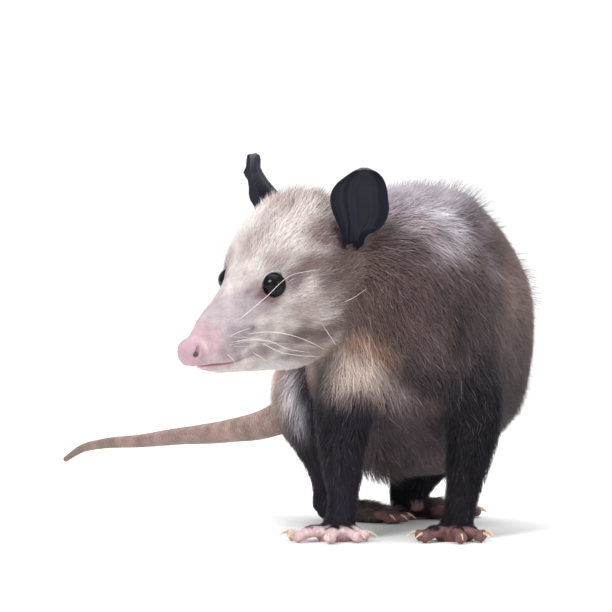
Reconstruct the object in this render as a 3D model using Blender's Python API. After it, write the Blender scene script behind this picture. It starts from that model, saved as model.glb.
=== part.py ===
"""A still, life-size opossum standing on its four feet, its head turned to its right.

Metres, +Z up. The shapes are laid out round a point on the floor between the forefeet, with +X to the
animal's left and +Y behind it. At the end everything moves together, so that the origin is the centre of
the underside of the bounding box. The solids' outline is the coat's outline: short fur lies inside plain
surfaces, and the long coat of the trunk is flat tapered locks over a core.
"""

import math
import random

import bmesh
import bpy
import numpy as np
from mathutils import Matrix, Vector
from mathutils.bvhtree import BVHTree

# Driving dimensions, in metres
MM = 0.001
GAP = 0.3 * MM                  # between nodes that touch
SIDES = 26                      # of a section of the neck or head
TRUNK_SIDES = 22
EYE_RADIUS = 6.4 * MM
EYE_AT = (52.5 * MM, 17.6 * MM, 3.4 * MM)     # forward, to the side and up, in the head's frame
EYE_FACES = (0.42, 0.86, 0.26)
LID_THICK = 1.5 * MM
EAR_AT = (-6 * MM, 35 * MM, 14.5 * MM)
EAR_WIDTH = 34 * MM
EAR_HEIGHT = 40 * MM
EAR_STEM = 15 * MM
EAR_THICK = 1.4 * MM
EAR_CUP = 9 * MM                # how far its sides come forward
EAR_FACES = (0.74, 0.66, 0.06)
EAR_RISES = (-0.30, 0.13, 0.95)
CLAW_LENGTH = 5.5 * MM
CLAW_RADIUS = 1.5 * MM
CORE_INSET = 6.5 * MM           # from the coat's outline to the core that carries the locks
LOCK_LENGTH = 50 * MM
LOCK_HALF_WIDTH = 11.5 * MM
LOCK_RIDGE = 1.7 * MM
LOCK_SPACING = 23.5 * MM        # least, from root to root
LOCK_SEED = 7
LOCK_SECTIONS = ((0.0, 0.65, -0.45), (0.3, 1.0, 0.1), (0.62, 0.85, 0.55), (0.86, 0.45, 0.86))
# Of each lock section: share of the length, of the width, and of the height over the core.
LOCK_BEND = 0.22                # most, to either side of the lie
LOCK_TRIES = ((0, 1), (6, 0.9), (0, 0.75), (8, 0.75), (14, 0.8), (4, 0.5))
# Of each try: how far in mm the root moves on, and the share of the full size.
ROOT_DRAWS = 4000
ROOT_ROOM = 3 * MM              # from a root to the core of the other node
BELLY_FACES = -0.7              # where the skin faces down more than this, roots stand wider apart
BELLY_SPACING = 1.4
BEHIND_HEAD = 78 * MM           # within this of the head's frame, roots stand closer
BEHIND_HEAD_SPACING = 0.7
CLEAR = 1.2 * MM                # from a lock to the nodes beside its own

# The head's place and turn. It points at its nose: to its right, downwards, with its left side low.
HEAD_AT = Vector((0.0, 17.5, 170.0)) * MM
HEAD_TURN, HEAD_PITCH, HEAD_ROLL = (math.radians(a) for a in (41, 24, 6))

# Linear colours and roughness
MATERIALS = {
    "grizzled_fur": ((0.16, 0.12, 0.10), 0.9),
    "pale_fur": ((0.60, 0.50, 0.44), 0.9),
    "black_fur": ((0.022, 0.020, 0.022), 0.9),
    "ear_skin": ((0.016, 0.017, 0.024), 0.6),
    "nose_skin": ((0.70, 0.36, 0.34), 0.4),
    "paw_skin": ((0.55, 0.34, 0.30), 0.6),
    "tail_skin": ((0.34, 0.25, 0.22), 0.7),
    "eye": ((0.004, 0.004, 0.006), 0.05),
    "claw_horn": ((0.55, 0.38, 0.18), 0.4),
}

# Stations: centre x, y, z, half width, height above the centre and depth below it, in millimetres.
# The trunk runs from the breast to the root of the tail, and bends towards the animal's right.
TRUNK = (
    (49, 1, 104, 36, 38, 38),
    (53, 17, 112, 53, 63, 60),
    (59, 42, 121, 64, 86, 83),
    (65, 72, 124, 71, 94, 94),
    (70, 103, 123, 77, 95, 97),
    (69, 133, 116, 76, 95, 90),
    (54, 158, 107, 67, 86, 75),
    (32, 174, 96, 53, 68, 58),
    (11, 183, 82, 35, 44, 39),
)
TRUNK_ENDS = ((46, -5, 100), (-6, 189, 71))
TRUNK_RINGS = 17
# The neck, from inside the trunk to the back of the head.
NECK = (
    (70, 66, 138, 34, 42, 40),
    (48, 50, 156, 37, 46, 42),
)
# Sections of the head along its own axis: distance forward of the ears, top, bottom, half width, and how
# much narrower the section is at its top than at its bottom.
HEAD = (
    (-20, 35, -44, 36, 0.00),
    (-8, 38.5, -52, 40, 0.00),
    (5, 39, -58, 42, 0.02),
    (20, 36.5, -60.5, 41, 0.04),
    (35, 30, -59, 36, 0.06),
    (50, 20.5, -54, 28, 0.10),
    (65, 12, -47.5, 21.5, 0.14),
    (80, 6.5, -41, 16.8, 0.15),
    (95, 1.5, -34, 13, 0.12),
    (105, -2.5, -28.5, 10.5, 0.06),
    (111, -4.5, -24.5, 8.5, 0.0),
)
HEAD_END = (114, -14)
HEAD_RINGS = 20
# The line of the mouth in the same frame, from the chin to the corner: forward and up.
MOUTH = ((118, -22), (105, -24.5), (94, -28), (82, -28.5), (69, -26.5))
MOUTH_SLOT = 0.7 * MM
# The nose pad: forward, up, half width and half height. Its nostril: forward, aside, up and radius.
NOSE = (
    (106, -12.5, 5, 5),
    (109, -12.5, 7.6, 7.6),
    (112, -12.6, 8.6, 8.2),
    (115, -12.6, 8.3, 8.0),
    (118, -12.4, 6.8, 6.8),
    (119.6, -12, 4.2, 4.4),
)
NOSE_END = (120.2, -12)
NOSTRIL = ((110, 9.5, -7.5, 0.8), (112.5, 8.9, -9, 1.2), (115, 7.4, -11.5, 1.6), (117, 5.8, -14.2, 2.0),
           (117, 5.8, -16, 1.2))
# Legs, from the wrist or ankle up: centre x, y, z, half width, depth in front and behind.
FORELEG_RIGHT = (
    (20.5, 5, 12, 10, 10, 10),
    (21.5, 9, 26, 10.5, 10, 11),
    (22, 17, 44, 13, 12, 14),
    (22, 25, 64, 17, 17, 18),
    (26, 28, 86, 22, 24, 24),
    (34, 30, 110, 24, 26, 28),
)
FORELEG_LEFT = (
    (91.5, 5, 12, 11, 11, 11),
    (93.5, 9, 26, 11, 10, 11),
    (96, 17, 44, 14, 13, 15),
    (99, 25, 64, 18, 17, 19),
    (97, 28, 86, 22, 24, 24),
    (88, 30, 110, 24, 26, 28),
)
HINDLEG_RIGHT = (
    (15, 152, 17, 10, 10, 10),
    (15, 147, 32, 14, 13, 14),
    (12, 142, 48, 19, 20, 22),
    (8, 142, 70, 29, 27, 34),
    (9, 146, 92, 31, 27, 35),
    (18, 152, 112, 28, 24, 28),
)
HINDLEG_LEFT = (
    (67, 154, 17, 10, 10, 11),
    (72, 155, 32, 13, 13, 15),
    (83, 160, 47, 18, 18, 20),
    (89, 166, 70, 25, 26, 28),
    (82, 168, 92, 28, 28, 30),
    (68, 168, 112, 24, 24, 26),
)
PALM_TOP = 16
ANKLE_TOP = 21
LEGS = {
    "foreleg_right": (FORELEG_RIGHT, PALM_TOP),
    "foreleg_left": (FORELEG_LEFT, PALM_TOP),
    "hindleg_right": (HINDLEG_RIGHT, ANKLE_TOP),
    "hindleg_left": (HINDLEG_LEFT, ANKLE_TOP),
}
# The tail: centre x, y, z and radius.
TAIL = (
    (6, 182, 78, 13),
    (-6, 190, 70, 12.5),
    (-24, 203, 61, 10),
    (-52, 235, 53.7, 7.8),
    (-90, 280, 47.7, 5.8),
    (-117, 310, 43.2, 4.6),
    (-144, 340, 39.9, 3.6),
    (-161, 360, 35.4, 2.9),
    (-175, 379, 26.5, 1.9),
)
TAIL_LENGTHS = (("tail_base", 0.0, 0.24, "grizzled_fur"), ("tail_mid", 0.24, 0.62, "tail_skin"),
                ("tail_end", 0.62, 1.0, "tail_skin"))
TAIL_SIDES = 10
# Forepaws: the palm's centre, the way it points in degrees from -Y towards -X, the digits' spread from the
# thumb outwards and how far they reach.
FOREPAWS = {
    "forepaw_right": ((17.5, -1), 6, (80, 50, 2, -42, -76), (25, 26, 24, 20, 17)),
    "forepaw_left": ((87, -1), 0, (78, 46, -6, -44, -78), (20, 24, 24, 20, 15)),
}
# Hind feet: the heel, and the way the foot points in degrees from +X towards +Y.
HINDPAWS = {
    "hindpaw_right": ((12, 155), -32, -1),
    "hindpaw_left": ((61, 152), 32, 1),
}
TOE_SPREAD = (26, 10, -7, -24)
TOE_REACH = (19, 21, 21, 17)
THUMB_REACH = 19
# Sections of a digit: share of its reach, height, share of its lift, and share of its radius.
DIGIT_SECTIONS = ((0, 5.5, 0, 1.05), (0.3, 5.5, 0.5, 1.0), (0.6, 4.9, 0.3, 0.9), (0.85, 3.8, 0, 0.95),
                  (1.0, 3.6, 0, 0.55))
FINGER_RADIUS, TOE_RADIUS, THUMB_RADIUS = 4.3, 3.9, 4.8
# Of a claw: share of its length, drop, and share of its radius.
CLAW_SECTIONS = ((0, 0.0, 1.0), (0.4, 0.1, 0.85), (0.75, 0.9, 0.5))
CLAW_DROP = 2.0
CLAW_HEIGHT = 4.0
# Of a palm: height, half width, and share of the way from the wrist to the palm.
PALM_SECTIONS = ((PALM_TOP + 4, 10, -0.2), (PALM_TOP, 9.8, 0.1), (11.5, 10.5, 0.5), (7, 12, 0.9),
                 (-1.5, 10.5, 1.0))
# Of a sole: way from the heel, height, half width, above and below.
SOLE_SECTIONS = ((-4, 7, 4, 4, 5), (0, 7.5, 7.5, 7.5, 9), (8, 8, 8.5, 9, 10), (20, 7, 8.5, 7, 9),
                 (34, 6, 10, 5, 8), (44, 5, 10, 4, 7))


def smoothed(rows, count):
    """Rows of numbers along a smooth curve through the given ones, evenly spaced by their first three."""
    rows = np.array(rows, float)
    knots = np.concatenate([[0], np.cumsum(np.linalg.norm(np.diff(rows[:, :3], axis=0), axis=1))])
    slopes = np.gradient(rows, knots, axis=0)
    at = np.linspace(0, knots[-1], count)
    i = np.clip(np.searchsorted(knots, at, side="right") - 1, 0, len(rows) - 2)
    h = (knots[i + 1] - knots[i])[:, None]
    t = (at - knots[i])[:, None] / h
    return ((2 * t**3 - 3 * t**2 + 1) * rows[i] + (t**3 - 2 * t**2 + t) * h * slopes[i]
            + (3 * t**2 - 2 * t**3) * rows[i + 1] + (t**3 - t**2) * h * slopes[i + 1])


def unit(v):
    return v / np.linalg.norm(v, axis=-1, keepdims=True)


def section(centre, across, up, half_width, above, below, sides, narrow=0.0):
    """One closed ring of points round a centre, wider below by the share that it narrows above."""
    turn = np.linspace(0, 2 * math.pi, sides, endpoint=False)
    high = np.sin(turn)
    wide = half_width * np.cos(turn) * (1 - narrow * high)
    tall = np.where(high > 0, above, below) * high
    return np.array(centre) + wide[:, None] * np.array(across) + tall[:, None] * np.array(up)


def rings_along(rows, count, towards, sides, grow=0.0):
    """Rings of a smooth body through stations in millimetres. towards is the way their height points."""
    rows = smoothed(np.array(rows, float) * MM, count)
    along = unit(np.gradient(rows[:, :3], axis=0))
    across = unit(np.cross(np.array(towards, float), along))
    up = np.cross(along, across)
    return [section(r[:3], a, u, *(r[3:6] + grow), sides) for r, a, u in zip(rows, across, up)]


def new_object(name, verts, faces, material=None):
    mesh = bpy.data.meshes.new(name)
    mesh.from_pydata([tuple(v) for v in verts], [], [tuple(f) for f in faces])
    edit = bmesh.new()
    edit.from_mesh(mesh)
    bmesh.ops.recalc_face_normals(edit, faces=edit.faces)
    edit.to_mesh(mesh)
    edit.free()
    obj = bpy.data.objects.new(name, mesh)
    bpy.context.scene.collection.objects.link(obj)
    if material:
        mesh.materials.append(bpy.data.materials[material])
    return obj


def body_of_rings(name, rings, start=None, end=None, material=None):
    """A closed body over stacked rings. An end is flat, or runs to the point given for it. Its quads are
    split here, so that a swollen copy is split alike and keeps its distance everywhere."""
    sides, count = len(rings[0]), len(rings)
    verts = [p for ring in rings for p in ring]
    faces = []
    for k in range(count - 1):
        for i in range(sides):
            a, b = k * sides + i, k * sides + (i + 1) % sides
            faces += [(a, b, b + sides), (a, b + sides, a + sides)]
    for point, first in ((start, 0), (end, (count - 1) * sides)):
        if point is None:
            faces.append(tuple(range(first, first + sides)))
        else:
            verts.append(np.array(point, float))
            faces += [(first + i, first + (i + 1) % sides, len(verts) - 1) for i in range(sides)]
    return new_object(name, verts, faces, material)


def boolean(target, operation, tools, solver="EXACT"):
    """Joins or cuts target with closed mesh objects, which are then removed."""
    tools = list(tools)
    group = bpy.data.collections.new("tools")
    bpy.context.scene.collection.children.link(group)
    for tool in tools:
        bpy.context.scene.collection.objects.unlink(tool)
        group.objects.link(tool)
    step = target.modifiers.new("boolean", "BOOLEAN")
    step.operation = operation
    step.solver = solver
    step.operand_type = "COLLECTION"
    step.collection = group
    apply_modifiers(target)
    for tool in tools:
        bpy.data.objects.remove(tool)
    bpy.data.collections.remove(group)
    keep_largest(target)


def apply_modifiers(obj):
    graph = bpy.context.evaluated_depsgraph_get()
    made = bpy.data.meshes.new_from_object(obj.evaluated_get(graph))
    obj.modifiers.clear()
    obj.data = made


def keep_largest(obj):
    """Drops every closed surface of a mesh but the one with the largest volume. Surfaces that only touch at a
    point or an edge are told apart."""
    edit = bmesh.new()
    edit.from_mesh(obj.data)
    bmesh.ops.triangulate(edit, faces=edit.faces[:])
    left, surfaces = set(edit.faces), []
    while left:
        surface, edge = set(), [left.pop()]
        while edge:
            face = edge.pop()
            surface.add(face)
            sides = [side for side in face.edges if len(side.link_faces) == 2]
            near = {other for side in sides for other in side.link_faces} & left
            left -= near
            edge += near
        surfaces.append(surface)
    volumes = [sum(f.calc_area() * f.normal.dot(f.calc_center_median()) for f in faces) for faces in surfaces]
    largest = surfaces[volumes.index(max(volumes))]
    scraps = [f for faces in surfaces if faces is not largest for f in faces]
    bmesh.ops.delete(edit, geom=scraps, context="FACES")
    edit.to_mesh(obj.data)
    edit.free()


def copy_of(obj, grow=0.0):
    """A tool with the same mesh, swollen along its normals."""
    made = bpy.data.objects.new(obj.name + "_tool", obj.data.copy())
    bpy.context.scene.collection.objects.link(made)
    normals = [v.normal.copy() for v in made.data.vertices]
    for vert, normal in zip(made.data.vertices, normals):
        vert.co += normal * grow
    return made


def above(height):
    return block((-1, -1, height), (1, 1, 1))


def below(height):
    return block((-1, -1, -1), (1, 1, height))


def block(low, high):
    """A box between two corners, as a cutter."""
    corners = [(x, y, z) for x in (low[0], high[0]) for y in (low[1], high[1]) for z in (low[2], high[2])]
    faces = [(0, 1, 3, 2), (4, 6, 7, 5), (0, 4, 5, 1), (2, 3, 7, 6), (0, 2, 6, 4), (1, 5, 7, 3)]
    return new_object("block", corners, faces)


def ball(name, centre, radius, segments, rings, material=None):
    mesh = bpy.data.meshes.new(name)
    edit = bmesh.new()
    bmesh.ops.create_uvsphere(edit, u_segments=segments, v_segments=rings, radius=radius)
    edit.to_mesh(mesh)
    edit.free()
    obj = bpy.data.objects.new(name, mesh)
    obj.data.transform(Matrix.Translation(Vector(centre)))
    bpy.context.scene.collection.objects.link(obj)
    if material:
        mesh.materials.append(bpy.data.materials[material])
    return obj


def clear_of(target, *forms):
    """Cuts target back from other bodies, with the gap between touching nodes."""
    for form in forms:
        boolean(target, "DIFFERENCE", [form(GAP)])


def head_frame():
    """The head's axes as columns: forward to the nose, to its left, and up."""
    turn, pitch, roll = HEAD_TURN, HEAD_PITCH, HEAD_ROLL
    level = Vector((-math.sin(turn), -math.cos(turn), 0))
    forward = level * math.cos(pitch) - Vector((0, 0, math.sin(pitch)))
    up = level * math.sin(pitch) + Vector((0, 0, math.cos(pitch)))
    left = Vector((math.cos(turn), -math.sin(turn), 0))
    tilted_left = left * math.cos(roll) - up * math.sin(roll)
    tilted_up = up * math.cos(roll) + left * math.sin(roll)
    return Matrix((forward, tilted_left, tilted_up)).transposed()


def in_head(point):
    """A point of the head's frame, in metres, in the layout's frame."""
    return HEAD_AT + head_frame() @ Vector(point)


def head_rings(grow=0.0):
    frame = head_frame()
    rows = [(u, 0, 0, top, bottom, width, narrow / MM) for u, top, bottom, width, narrow in HEAD]
    rows = np.array(rows) * MM
    rings = []
    for u, _, _, top, bottom, width, narrow in smoothed(rows, HEAD_RINGS):
        centre = in_head((u, 0, (top + bottom) / 2))
        tall = (top - bottom) / 2 + grow
        rings.append(section(centre, frame.col[1], frame.col[2], width + grow, tall, tall, SIDES, narrow))
    return rings


def head_form(grow=0.0):
    """The head without its openings."""
    rings = head_rings(grow)
    back = np.array(head_frame().col[0]) * grow
    tip = in_head((HEAD_END[0] * MM, 0, HEAD_END[1] * MM))
    return body_of_rings("head", [rings[0] - back] + rings[1:], end=tip, material="pale_fur")


def mouth_cutter():
    """A thin slot right through the muzzle, along the line of the mouth."""
    line = smoothed([(u, 0, w) for u, w in MOUTH], 14) * MM
    half, reach = MOUTH_SLOT / 2, 40 * MM
    verts = [in_head((u, side, w + rise)) for u, _, w in line
             for side, rise in ((-reach, -half), (reach, -half), (reach, half), (-reach, half))]
    rings = [np.array([tuple(v) for v in verts[k:k + 4]]) for k in range(0, len(verts), 4)]
    return body_of_rings("mouth_slot", rings)


def torus(centre, axis, major, minor, around=16, sides=5):
    """A ring of round section round an axis."""
    axis = Vector(axis).normalized()
    first = axis.orthogonal().normalized()
    second = axis.cross(first)
    verts, faces = [], []
    for k in range(around):
        turn = 2 * math.pi * k / around
        out = first * math.cos(turn) + second * math.sin(turn)
        for j in range(sides):
            lean = 2 * math.pi * j / sides
            reach = major + minor * math.cos(lean)
            verts.append(Vector(centre) + out * reach + axis * minor * math.sin(lean))
            faces.append((k * sides + j, ((k + 1) % around) * sides + j,
                          ((k + 1) % around) * sides + (j + 1) % sides, k * sides + (j + 1) % sides))
    return new_object("torus", verts, faces)


def eye_centre(side):
    return in_head((EYE_AT[0], side * EYE_AT[1], EYE_AT[2]))


def build_head():
    """The head with its lids, eye sockets and the slot of its mouth, then the eyes."""
    frame = head_frame()
    head = head_form()
    lids = []
    for side in (1, -1):
        faces_to = frame @ Vector((EYE_FACES[0], side * EYE_FACES[1], EYE_FACES[2])).normalized()
        lids.append(torus(eye_centre(side) + faces_to * 1.6 * MM, faces_to, EYE_RADIUS, LID_THICK))
    boolean(head, "UNION", lids)
    sockets = [ball("socket", eye_centre(side), EYE_RADIUS + GAP, 16, 9) for side in (1, -1)]
    boolean(head, "DIFFERENCE", sockets)
    boolean(head, "DIFFERENCE", [mouth_cutter()])
    for side, name in ((1, "eye_left"), (-1, "eye_right")):
        ball(name, eye_centre(side), EYE_RADIUS, 12, 8, "eye")
    return head


def build_nose(head):
    """The bare nose pad, with a nostril cut on each side."""
    frame = head_frame()
    rings = [section(in_head((u * MM, 0, w * MM)), frame.col[1], frame.col[2], a * MM, b * MM, b * MM, 14)
             for u, w, a, b in NOSE]
    tip = in_head((NOSE_END[0] * MM, 0, NOSE_END[1] * MM))
    nose = body_of_rings("nose", rings, end=tip, material="nose_skin")
    boolean(nose, "DIFFERENCE", [copy_of(head, GAP)])
    nostrils = []
    for side in (1, -1):
        rings = []
        for u, v, w, radius in smoothed(NOSTRIL, 6):
            centre = in_head((u * MM, side * v * MM, w * MM))
            rings.append(section(centre, frame.col[0], frame.col[1], *[radius * MM] * 3, 6))
        nostrils.append(body_of_rings("nostril", rings))
    boolean(nose, "DIFFERENCE", nostrils)
    return nose


def neck_form(grow=0.0):
    """The neck, from inside the trunk to the flat back of the head."""
    frame = head_frame()
    last = head_rings(grow)[0] - np.array(frame.col[0]) * GAP
    before = last - np.array(frame.col[0]) * 6 * MM
    rings = rings_along(NECK, 4, (0, 0, 1), SIDES, grow)
    # The trunk's sections count their sides from the other flank, so the head's are turned to match.
    match = [(SIDES // 2 - i) % SIDES for i in range(SIDES)]
    if np.linalg.norm(rings[-1] - before[match]) > np.linalg.norm(rings[-1] - before):
        match = list(range(SIDES))
    return body_of_rings("neck", rings + [before[match], last[match]], material="grizzled_fur")


def build_ear(name, side):
    """A thin cupped pinna: a round blade on a rolled stem, open to the front and side."""
    facing = Vector((EAR_FACES[0], side * EAR_FACES[1], EAR_FACES[2])).normalized()
    rise = Vector((EAR_RISES[0], side * EAR_RISES[1], EAR_RISES[2]))
    rise = (rise - facing * rise.dot(facing)).normalized()
    wide = rise.cross(facing)
    rows, columns = 11, 9
    grids = []
    for depth in (0.0, -EAR_THICK):
        grid = []
        for i in range(rows):
            share = i / (rows - 1)
            height = share * (EAR_HEIGHT + EAR_STEM)
            above = (height - EAR_STEM) / EAR_HEIGHT
            blade = math.sqrt(max(0.0, 1 - (2 * above - 0.95) ** 2 / 1.12)) if above > 0 else 0
            stem = 0.26 + 0.22 * share
            half = EAR_WIDTH / 2 * max(stem * (above < 0.3), blade, 0.12)
            for j in range(columns):
                t = 2 * j / (columns - 1) - 1
                cup = EAR_CUP * t * t * (0.4 + 0.6 * half / (EAR_WIDTH / 2)) * (1.5 - share)
                point = rise * (height - EAR_STEM) + wide * half * t * 0.97 + facing * (cup + depth)
                point -= facing * 5 * MM * math.sin(share * math.pi)
                grid.append(in_head(Vector((EAR_AT[0], side * EAR_AT[1], EAR_AT[2])) + point))
        grids.append(grid)
    front, back = grids
    verts = front + back
    n = rows * columns
    faces = []
    for i in range(rows - 1):
        for j in range(columns - 1):
            a, b = i * columns + j, i * columns + j + 1
            c, d = b + columns, a + columns
            faces += [(a, b, c), (a, c, d), (n + a, n + c, n + b), (n + a, n + d, n + c)]
    rim = list(range(columns)) + [i * columns + columns - 1 for i in range(1, rows)]
    rim += [(rows - 1) * columns + j for j in range(columns - 2, -1, -1)]
    rim += [i * columns for i in range(rows - 2, 0, -1)]
    for a, b in zip(rim, rim[1:] + rim[:1]):
        faces.append((a, n + a, n + b, b))
    return new_object(name, verts, faces, "ear_skin")


def leg_form(name, grow=0.0):
    """A furred leg, cut level where its bare foot begins."""
    rows, foot_top = LEGS[name]
    leg = body_of_rings(name, rings_along(rows, 10, (0, -1, 0), 14, grow), material="black_fur")
    boolean(leg, "DIFFERENCE", [below(foot_top * MM - grow)])
    return leg


def digit(base, angle, reach, radius, lift=2.5):
    """One finger or toe from base, along the floor at an angle, with a swollen tip that reaches the floor and
    a small flat end for its claw."""
    way = Vector((math.cos(angle), math.sin(angle), 0))
    rows = []
    for share, high, arch, thick in DIGIT_SECTIONS:
        at = Vector((base[0], base[1], 0)) + way * reach * share
        rows.append((at.x, at.y, high + lift * arch, *[thick * radius] * 3))
    return body_of_rings("digit", rings_along(rows, 7, (0, 0, 1), 8))


def claw(name, base, angle, reach):
    """A curved claw that starts at the flat end of a digit."""
    way = Vector((math.cos(angle), math.sin(angle), 0))
    start = Vector((base[0], base[1], CLAW_HEIGHT)) * MM + way * (reach * MM + GAP)
    rings = []
    for share, drop, thick in CLAW_SECTIONS:
        centre = start + way * CLAW_LENGTH * share - Vector((0, 0, drop * MM))
        across = (-way.y, way.x, 0)
        rings.append(section(centre, across, (0, 0, 1), *np.array((0.8, 1, 0.8)) * CLAW_RADIUS * thick, 6))
    tip = start + way * CLAW_LENGTH - Vector((0, 0, CLAW_DROP * MM))
    body_of_rings(name, rings, end=tip, material="claw_horn")


def build_forepaw(name, leg_rows):
    """Palm and five spread digits, flat on the floor."""
    (x, y), turn, spread, reaches = FOREPAWS[name]
    wrist = leg_rows[0]
    rings = []
    for high, wide, near in PALM_SECTIONS:
        cx, cy = wrist[0] + (x - wrist[0]) * near, wrist[1] + (y - wrist[1]) * near
        rings.append(section(np.array((cx, cy, high)) * MM, (1, 0, 0), (0, -1, 0), wide * MM, wide * 0.9 * MM,
                             wide * 0.9 * MM, 12))
    paw = body_of_rings(name, rings, material="paw_skin")
    digits = []
    for k, (aside, reach) in enumerate(zip(spread, reaches)):
        angle = math.radians(-90 - turn - aside)
        base = (x + 4 * math.cos(angle), y + 4 * math.sin(angle))
        digits.append(digit(base, angle, reach, FINGER_RADIUS))
        claw(f"claw_{name}_{k + 1}", base, angle, reach)
    finish_paw(paw, digits, PALM_TOP)


def build_hindpaw(name, leg_rows):
    """The long sole, four clawed toes, and the clawless thumb on its inner side."""
    (x, y), turn, outer = HINDPAWS[name]
    angle = math.radians(turn)
    way = Vector((math.cos(angle), math.sin(angle), 0))
    inner = Vector((-way.y, way.x, 0)) * -outer
    heel = Vector((x, y, 0))
    rows = [(*(heel + way * s)[:2], *rest) for s, *rest in SOLE_SECTIONS]
    paw = body_of_rings(name, rings_along(rows, 9, (0, 0, 1), 12), material="paw_skin")
    ankle = leg_rows[0]
    tall = [(ankle[0] - 1.5, ankle[1], 7, *ankle[3:]), (ankle[0], ankle[1], ANKLE_TOP + 3, *ankle[3:])]
    extras = [body_of_rings("ankle", rings_along(tall, 2, (0, -1, 0), 12))]
    for k, (spread, reach) in enumerate(zip(TOE_SPREAD, TOE_REACH)):
        aside = math.radians(spread)
        start = heel + way * 40 - inner * 9.6 * math.sin(aside)
        extras.append(digit(start, angle + outer * aside, reach, TOE_RADIUS, 1.5))
        claw(f"claw_{name}_{k + 1}", start, angle + outer * aside, reach)
    thumb_angle = math.atan2(inner.y + way.y * 0.35, inner.x + way.x * 0.35)
    extras.append(digit(heel + way * 20 + inner * 3, thumb_angle, THUMB_REACH, THUMB_RADIUS, 2))
    finish_paw(paw, extras, ANKLE_TOP)


def finish_paw(paw, digits, top):
    """Joins a paw to its digits, and cuts its sole and its top flat."""
    boolean(paw, "UNION", digits)
    boolean(paw, "DIFFERENCE", [below(0), above(top * MM - GAP)])


def tail_form():
    rows = [(x, y, z, r, r, r) for x, y, z, r in TAIL]
    return body_of_rings("tail", rings_along(rows, 12, (0, 0, 1), TAIL_SIDES))


def build_tail():
    """The scaly tail in three lengths, furred at its base, that meet on flat faces."""
    count = 36
    rows = np.array([(x, y, z, r, r, r) for x, y, z, r in TAIL])
    rings = rings_along(rows, count, (0, 0, 1), TAIL_SIDES)
    for name, first, last, material in TAIL_LENGTHS:
        a, b = round(first * (count - 1)), round(last * (count - 1))
        part = [ring.copy() for ring in rings[a:b + 1]]
        end = None
        if name == "tail_end":
            end = part[-1].mean(0) + (part[-1].mean(0) - part[-2].mean(0)) * 0.3
        else:
            part[-1] -= unit(part[-1].mean(0) - part[-2].mean(0)) * GAP
        body_of_rings(name, part, end=end, material=material)


def trunk_form(grow=0.0, name="torso"):
    """The trunk as one smooth body, with its outline moved out by grow."""
    rings = rings_along(TRUNK, TRUNK_RINGS, (0, 0, 1), TRUNK_SIDES, grow)
    ends = []
    for k, point in ((0, TRUNK_ENDS[0]), (-1, TRUNK_ENDS[1])):
        outward = unit(np.array(point) * MM - rings[k].mean(0)) * grow
        rings[k] = rings[k] + outward
        ends.append(np.array(point) * MM + outward)
    return body_of_rings(name, rings, start=ends[0], end=ends[1], material="grizzled_fur")


def core_form(grow=0.0):
    return trunk_form(grow - CORE_INSET)


def lie_of_coat(point, normal):
    """The way that the hair lies: away from the head and down the sides."""
    down = (0.5 + max(0.0, -normal.y)) * (1 - abs(normal.z))
    way = (point - HEAD_AT).normalized() - Vector((0, 0, down))
    return (way - normal * way.dot(normal)).normalized()


def lock(skin, start, size, height, draw):
    """The rings and the tip of a flat tapered lock, which leaves the skin at its root and bends back over
    it."""
    point, normal, _, _ = skin.find_nearest(start)
    turn, length = draw.uniform(-LOCK_BEND, LOCK_BEND), LOCK_LENGTH * size
    rings, last = [], 0.0
    for share, wide, rise in LOCK_SECTIONS:
        way = lie_of_coat(point, normal)
        way = (way + normal.cross(way) * turn).normalized()
        point, normal, _, _ = skin.find_nearest(point + way * length * (share - last))
        last = share
        across = normal.cross(way).normalized()
        middle = point + normal * height * rise
        half = LOCK_HALF_WIDTH * wide * (0.4 + 0.6 * size)
        rings.append(np.array([middle - across * half, middle + normal * LOCK_RIDGE, middle + across * half,
                               middle - normal * LOCK_RIDGE * 0.3]))
    point, normal, _, _ = skin.find_nearest(point + way * length * (1 - last))
    return rings, point + normal * height


def roots_of_locks(cores, draw):
    """Places spread over the cores by chance, none nearer to another than the spacing."""
    for obj in cores:
        obj.data.calc_loop_triangles()
    corners = np.array([[obj.data.vertices[i].co for i in triangle.vertices]
                        for obj in cores for triangle in obj.data.loop_triangles])
    a, b, c = corners[:, 0], corners[:, 1], corners[:, 2]
    areas = np.linalg.norm(np.cross(b - a, c - a), axis=1).cumsum()
    roots = []
    for _ in range(ROOT_DRAWS):
        face = int(np.searchsorted(areas, draw.random() * areas[-1]))
        u, v = sorted((draw.random(), draw.random()))
        point = Vector(a[face] * u + b[face] * (v - u) + c[face] * (1 - v))
        faces_up = np.cross(b[face] - a[face], c[face] - a[face])
        spacing = LOCK_SPACING
        if unit(faces_up)[2] < BELLY_FACES:
            spacing *= BELLY_SPACING
        elif (point - HEAD_AT).length < BEHIND_HEAD:
            spacing *= BEHIND_HEAD_SPACING
        if all((point - other).length > spacing for other in roots):
            roots.append(point)
    return roots


def add_locks(core, skin, roots, neighbours, draw):
    """Fuses a lock at each root with the core. One that would come near a neighbour is moved back or
    shortened, or left out."""
    graph = bpy.context.evaluated_depsgraph_get()
    trees = [BVHTree.FromObject(other, graph) for other in neighbours]
    locks = []
    for root in roots:
        size = draw.uniform(0.8, 1.1)
        height = (CORE_INSET - LOCK_RIDGE) * draw.uniform(0.85, 0.99)
        for step, share in LOCK_TRIES:
            _, normal, _, _ = skin.find_nearest(root)
            start = root + lie_of_coat(root, normal) * step * MM
            made, tip = lock(skin, start, size * share, height, draw)
            points = [Vector(p) for ring in made for p in ring] + [tip]
            if not any(inside(tree, p, CLEAR) for tree in trees for p in points):
                locks.append(body_of_rings("lock", made, end=tip))
                break
    boolean(core, "UNION", locks, "MANIFOLD")


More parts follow.
